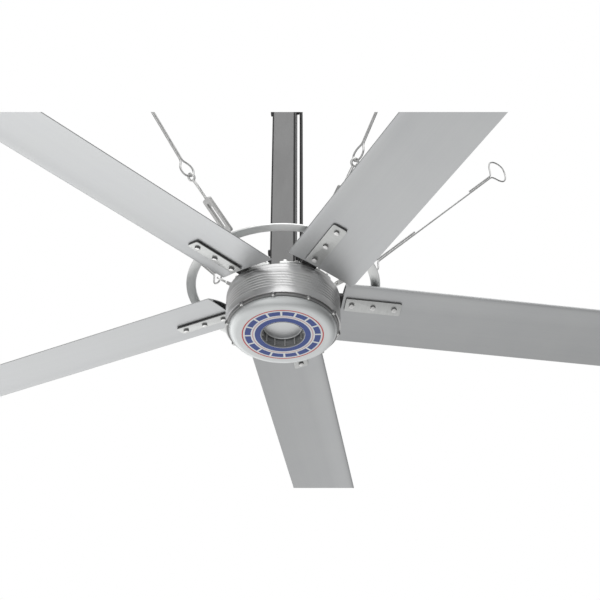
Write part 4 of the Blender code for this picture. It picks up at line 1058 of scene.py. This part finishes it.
# The plate under each blade's root, its three bolts and their nuts on top
def bladeClamps():
    clamp = {
        "start": 0.166, "end": 0.318, "half": 0.02, "low": -0.01109, "high": -0.00659,
        "corner": 0.007, "rootCorner": 0.001, "edge": 0.0007,
        "bolts": (0.183, 0.241, 0.299), "nutLows": (0.01761, 0.03416, 0.01761),
        "shank": 0.004, "head": 0.0073, "headHeight": 0.0055, "nutHeight": 0.0065,
        "stub": 0.001, "sink": 0.0002,
    }
    start, end, half, low, head = pick(clamp, "start", "end", "half", "low", "head")
    face = low - clamp["headHeight"]
    radii = pick(clamp, "rootCorner", "corner", "corner", "rootCorner")
    outline = rounded(oblong(start, end, -half, half), radii, 6)
    plate = prism(outline, low, clamp["high"], clamp["edge"])
    shapes = []
    for x, nutLow in zip(clamp["bolts"], clamp["nutLows"]):
        nutHigh = nutLow + clamp["nutHeight"]
        bolt = [hexHead(head, face, low + clamp["sink"], cutHigh=False), hexHead(head, nutLow, nutHigh)]
        bolt.append(thread(clamp["shank"], low, nutHigh + clamp["stub"]))
        shapes.append(moved(joined(bolt), shift(x)))
    # Clamp plates and bolts with painted shade on their sides
    surfaces["clamp"] = sideShadedMetal("clamp_plate", low, (0.66, 0.67, 0.66), (0.74, 0.75, 0.74), 0.36)
    surfaces["bolt"] = sideShadedMetal("bolt_steel", face, (0.84, 0.84, 0.83), (0.95, 0.95, 0.94), 0.3)
    onBlades(
        ("clamp", plate, "clamp", "brushed_aluminium", "blade_clamp"),
        ("clamp_bolts", joined(shapes), "bolt", "brushed_aluminium", "blade_clamp"),
    )


# A rounded rectangle spun about Z, on a round spacer at each blade's middle bolt
def safetyRing():
    ring = {
        "inner": 0.2319, "outer": 0.2573, "low": 0.1533, "high": 0.1583, "edge": 0.0012,
        "spacer": 0.009, "spacerLow": 0.01761, "spacerHigh": 0.0291, "bolt": 0.241,
    }
    low, high, edge = pick(ring, "low", "high", "edge")
    profile = rim(ring["outer"], low, high, edge, 3) + rim(ring["inner"], low, high, edge, 3, inward=True)
    spacer = disc(ring["spacer"], ring["spacerLow"], ring["spacerHigh"])
    places = [rotorPlace.inverted() @ place @ shift(ring["bolt"]) for place in bladePlaces]
    shape = joined([lathe(profile, 256), copies(spacer, places)])
    turning("ring", shape, "ring", "brushed_aluminium", "safety_ring")


# Standing side
# A profile of steps spun about Z, with a curve under its flange
def statorShaft():
    shaft = {
        "radius": 0.02, "low": 0.0418, "flange": 0.06, "flangeLow": 0.1457, "flangeHigh": 0.1537,
        "edge": 0.001, "fillet": ((0.0, 0.003), (0.001, 0.001), (0.003, 0.0)),
    }
    radius, low, high, edge = pick(shaft, "radius", "flangeLow", "flangeHigh", "edge")
    profile = [
        *stair((0, shaft["low"]), radius - edge),
        (radius, shaft["low"] + edge),
        *[(radius + out, low - down) for out, down in shaft["fillet"]],
        *rim(shaft["flange"], low, high, edge, 3),
        (0, high),
    ]
    standing("shaft", lathe(profile, 96, closed=False), "steel", "stator_shaft")


# A disc, a square stem raised from it and four bolts on a circle
def motorYoke():
    yoke = {
        "radius": 0.075, "low": 0.154, "high": 0.164, "stemHigh": 0.3, "corner": 0.004,
        "edge": 0.0012, "overlap": 0.001, "bolts": 4, "circle": 0.045, "stud": 0.004,
        "studLow": 0.1374, "nut": 0.0073, "nutLow": 0.1389, "nutHigh": 0.1454,
    }
    edge, overlap = pick(yoke, "edge", "overlap")
    flange = disc(yoke["radius"], yoke["low"], yoke["high"], edge, 96)
    outline = roundSquare(fan["stemHalf"], yoke["corner"])
    stem = prism(outline, yoke["high"] - overlap, yoke["stemHigh"], edge)
    nut = hexHead(yoke["nut"], yoke["nutLow"], yoke["nutHigh"], sides=48)
    bolt = joined([nut, thread(yoke["stud"], yoke["studLow"], yoke["low"] + overlap)])
    shape = joined([flange, stem, onCircle(bolt, yoke["circle"], yoke["bolts"])])
    standing("yoke", shape, "dark", "motor_yoke")


# The downrod, and the inner stem that slides in it to set the drop
def tubes():
    tube = {
        "corner": 0.006, "wall": 0.004, "edge": 0.0006, "rod": (0.1706, 0.86), "stem": (0.77, 1.1307),
    }
    corner = tube["corner"]
    for name, node in (("rod", "downrod"), ("stem", "upper_stem")):
        half = fan[f"{name}Half"]
        surfaces[node] = tubePaintWithShadedCorners(f"{name}_paint", half, corner)
        outer, inner = roundSquare(half, corner), roundSquare(half - tube["wall"], corner / 2)
        standing(name, sleeve(outer, inner, *tube[name], tube["edge"]), node, node)


# A bolt along X: its shank with a thread at one end, two washers, the head and the nut
def acrossBolt(radius, corner, height, half):
    bolt = {"washer": 0.0016, "washerRim": 0.0015, "stub": 0.003}
    inside = half + fan["gap"]
    washer = inside + bolt["washer"]
    head = washer + height
    shapes = [disc(radius, -inside, washer), thread(radius, washer, head + bolt["stub"])]
    for side in (0, math.pi):
        ends = [disc(corner + bolt["washerRim"], inside, washer), hexHead(corner, washer, head, side == 0)]
        shapes.append(moved(joined(ends), turn("X", side)))
    return moved(joined(shapes), alongX)


# The same bolt along X at three heights, and a thicker one turned to lie along Y
def crossBolts():
    bolts = {
        "cross": {"radius": 0.005, "corner": 0.0095, "height": 0.0065, "half": fan["rodHalf"]},
        "pivot": {"radius": 0.008, "corner": 0.013, "height": 0.01, "half": 0.04},
        "places": (0.252, 0.279, 0.826, 1.1057),
    }
    crossing = acrossBolt(**bolts["cross"])
    pin = moved(acrossBolt(**bolts["pivot"]), turn("Z", math.pi / 2))
    rows = (
        ("foot_bolt_low", "foot_bolt_1", crossing),
        ("foot_bolt_high", "foot_bolt_2", crossing),
        ("clamp_bolt", "adjust_bolt", crossing),
        ("pivot_pin", "pivot_bolt", pin),
    )
    for (name, node, shape), height in zip(rows, bolts["places"]):
        standing(name, shape, "dark", node, rodPlace @ shift(z=height))


# A square plate with a hole near each corner, and below it a smaller one with two ears
def ceilingFitting():
    plate = {
        "half": 0.11, "low": 1.188, "high": 1.2, "corner": 0.006, "rounding": 0.001,
        "holes": 0.085, "hole": 0.0065,
    }
    outline = rounded(rectangle(plate["half"], plate["half"]), plate["corner"])
    offset, hole = plate["holes"], circle(plate["hole"], 24)
    holes = [hole + np.array([x * offset, y * offset]) for x in (-1, 1) for y in (-1, 1)]
    shape = extruded([outline, *holes], plate["low"], plate["high"])
    soften(standing("plate", shape, "rod", "ceiling_plate"), plate["rounding"])
    yoke = {
        "half": 0.055, "low": 1.1777, "high": 1.1877, "corner": 0.004, "edge": 0.0012,
        "earHalf": 0.03, "earNear": 0.03, "earFar": 0.04, "earLow": 1.0757, "earHigh": 1.1787,
        "earCorner": 0.01, "earEdge": 0.001,
    }
    outline = rounded(rectangle(yoke["half"], yoke["half"]), yoke["corner"])
    top = prism(outline, yoke["low"], yoke["high"], yoke["edge"])
    low, high, half, corner = pick(yoke, "earLow", "earHigh", "earHalf", "earCorner")
    outline = rounded(oblong(-half, half, low, high), (corner, corner, 0, 0), 8)
    ear = moved(prism(outline, -yoke["earFar"], -yoke["earNear"], yoke["earEdge"]), uprightX)
    shape = joined([top, copies(ear, around(2))])
    standing("ceiling_clevis", shape, "rod", "ceiling_yoke")


# The square plate round the downrod's foot, a lug at each corner and the studs that rise from them
def guyBracket():
    bracket = {
        "half": 0.072, "low": 0.1643, "high": 0.1703, "corner": 0.006, "edge": 0.0008,
        "opening": 0.03, "openingCorner": 0.004, "lugHalf": 0.004, "lugEdge": 0.001,
        "lug": ((0.066, 0.1673), (0.099, 0.1673), (0.108, 0.1813), (0.099, 0.1923)),
        "lugCorner": (0.001, 0.001, 0.005, 0.005),
    }
    outer = roundSquare(bracket["half"], bracket["corner"])
    inner = roundSquare(bracket["opening"], bracket["openingCorner"])
    plate = sleeve(outer, inner, bracket["low"], bracket["high"], bracket["edge"])
    outline, half = rounded(bracket["lug"], bracket["lugCorner"]), bracket["lugHalf"]
    lug = moved(prism(outline, -half, half, bracket["lugEdge"]), uprightX)
    shape = joined([plate, copies(lug, around(fan["guyCount"], math.pi / 4))])
    standing("bracket", shape, "steel", "guy_bracket")
    stud = {"radius": 0.004, "start": 0.004, "end": 0.1401, "collar": (0.0047, 0.1396, 0.1456, 0.0006)}
    rod = thread(stud["radius"], stud["start"], stud["end"])
    shape = moved(joined([rod, disc(*stud["collar"], sides=24)]), alongX)
    shape = copies(shape, [rodPlace.inverted() @ place for place in guyPlaces])
    standing("guy_studs", shape, "bright", "guy_bracket")


# Open frames with a boss at each end, and the eye rods that screw into them
def turnbuckles():
    body = {
        "start": 0.1253, "end": 0.2353, "half": 0.0135, "thick": 0.005, "corner": 0.006,
        "slot": 0.0055, "slotCorner": 0.004, "block": 0.014, "rounding": 0.0018,
    }
    reach, middle = (body["end"] - body["start"]) / 2, np.array([(body["start"] + body["end"]) / 2, 0])
    outline = rounded(rectangle(reach, body["half"]), body["corner"], 5)
    slot = rounded(rectangle(reach - body["block"], body["slot"]), body["slotCorner"], 5)
    barFrame = extruded([outline + middle, slot + middle], -body["thick"], body["thick"])
    eye = {
        "ring": 0.0099, "wire": 0.0034, "ringSides": 48, "tubeSides": 16,
        "rod": 0.004, "low": 0.2105, "threadEnd": 0.264, "high": 0.2966, "neck": 0.97, "overlap": 0.001,
    }
    screw = thread(eye["rod"], eye["low"], eye["threadEnd"])
    neck = disc(eye["rod"] * eye["neck"], eye["threadEnd"] - eye["overlap"], eye["high"])
    ring = lathe(circle(eye["wire"], eye["tubeSides"]) + np.array([eye["ring"], 0]), eye["ringSides"])
    rod = joined([moved(joined([screw, neck]), alongX), moved(ring, shift(fan["eyePlace"]))])
    steel, bright = surfaces["steel"], surfaces["bright"]
    for i, place in enumerate(guyPlaces):
        n = i + 1
        name = f"turnbuckle_{n}"
        made = piece(f"{name}_frame", barFrame, place, steel, name, f"turnbuckle_body_{n}")
        soften(made, body["rounding"], 3)
        piece(f"eye_bolt_{n}", rod, place, bright, f"guy_end_{n}", f"eye_rod_{n}")


# The gland at the rod's foot, its dome fluted by -depth * (1/2 + cos(flutes * angle) / 2) ^ 2
def cableGland():
    gland = {
        "corner": 0.0105, "low": 0.1706, "nutHigh": 0.1786, "flutes": 12, "fluteDepth": 0.0006,
        "radii": (0, 0.00865, 0.00945, 0.00915, 0.00805, 0.0071, 0.0065, 0),
        "heights": (0.1781, 0.1781, 0.1794, 0.1848, 0.1874, 0.1894, 0.19, 0.19),
        "fluted": (0, 1, 1, 1, 0.6, 0, 0, 0),
    }

    # How much the dome's radius changes at an angle
    def flutes(angles):
        return -gland["fluteDepth"] * (0.5 + 0.5 * np.cos(gland["flutes"] * angles)) ** 2

    profile = list(zip(gland["radii"], gland["heights"]))
    dome = lathe(profile, 96, closed=False, swell=(flutes, gland["fluted"]))
    shape = joined([hexHead(gland["corner"], gland["low"], gland["nutHigh"]), dome])
    place = rodPlace @ shift(fan["cableSide"], fan["cableBack"])
    standing("gland", shape, "black", "cable_gland", place)


# Blocks rounded on the side away from the tube, with the cable's bore through them
def cableClips():
    clip = {
        "margin": 0.0075, "half": 0.006, "bore": 0.005, "corners": (0.001, 0.005, 0.005, 0.001),
        "heights": {"rodHalf": 0.225, "stemHalf": 0.905}, "rounding": 0.0007,
    }
    side, back = pick(fan, "cableSide", "cableBack")
    half = fan["cableRadius"] + clip["margin"]
    far = side + fan["cableRadius"] + clip["margin"] / 2
    bore = circle(clip["bore"], 32) + np.array([side, back])
    for i, (face, height) in enumerate(clip["heights"].items()):
        near = fan[face] + fan["gap"]
        outlines = [rounded(oblong(near, far, back - half, back + half), clip["corners"]), bore]
        shape = extruded(outlines, height - clip["half"], height + clip["half"])
        made = standing(f"clip_{i + 1}", shape, "black", f"cable_clip_{i + 1}")
        soften(made, clip["rounding"])


# The box under the ceiling plate, with a groove where its lid meets it
def terminalBox():
    box = {
        "halfX": 0.024, "halfY": 0.04, "low": 1.1427, "high": 1.1877, "corner": 0.006,
        "edge": 0.002, "roundings": (0, 0.5, 1.05, 1.57), "upperEdge": 0.0006, "lid": 0.013,
        "groove": 0.0008, "x": 0.0845, "gland": 0.0085, "glandLow": 1.1327, "overlap": 0.0004,
        "screw": (0.0028, 0.0008), "screws": (0.0175, 0.0335),
    }
    low, high, edge, upper, groove = pick(box, "low", "high", "edge", "upperEdge", "groove")
    lid, overlap = low + box["lid"], low + box["overlap"]
    levels = [(edge * (1 - math.sin(a)), low + edge * (1 - math.cos(a))) for a in box["roundings"]]
    levels += [(0, lid - groove), (groove, lid - groove), (groove, lid + groove), (0, lid + groove)]
    levels += [(0, high - upper), (upper, high)]
    case = stepped(rounded(rectangle(box["halfX"], box["halfY"]), box["corner"], 6), levels)
    entry = hexHead(box["gland"], box["glandLow"], overlap, cutHigh=False)
    screw = disc(box["screw"][0], low - box["screw"][1], overlap, sides=24)
    x, y = box["screws"]
    shape = joined([case, entry, copies(screw, [shift(a, b) for a in (-x, x) for b in (-y, y)])])
    place = rodPlace @ shift(box["x"], fan["cableBack"])
    standing("junction_box", shape, "black", "terminal_box", place)


# New surfaces and rounded edges for the solids that the housing hides
def motorInside():
    settings = {"weld": 0.00001, "rounding": 0.0004}
    inner = {
        "stator_core": layered("laminated_steel", (0.09, 0.09, 0.1), (0.2, 0.2, 0.21), 0.45, 9000),
        "stator_windings": layered("enamelled_copper", (0.36, 0.13, 0.05), (0.62, 0.26, 0.11), 0.3, 6000),
        "magnet_ring": platedMetal("nickel_magnet", (0.16, 0.16, 0.17), (0.3, 0.3, 0.31), 0.3, False),
        "upper_bearing": platedMetal("bearing_steel", (0.45, 0.45, 0.45), (0.7, 0.7, 0.7), 0.2, False),
    }
    inner["lower_bearing"] = inner["upper_bearing"]
    for name, surface in inner.items():
        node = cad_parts[name]
        node.data.materials.clear()
        node.data.materials.append(surface)
        node.modifiers.new("weld", "WELD").merge_threshold = settings["weld"]
        soften(node, settings["rounding"])


housingShell()
topCover()
flangeCover()
bottomCap()
capLabel()
badge()
print("motor housing made")
blades()
bladeArms()
bladeClamps()
safetyRing()
print("blades made")
statorShaft()
motorYoke()
tubes()
crossBolts()
ceilingFitting()
guyBracket()
turnbuckles()
cableGland()
cableClips()
terminalBox()
motorInside()
print("standing side made")
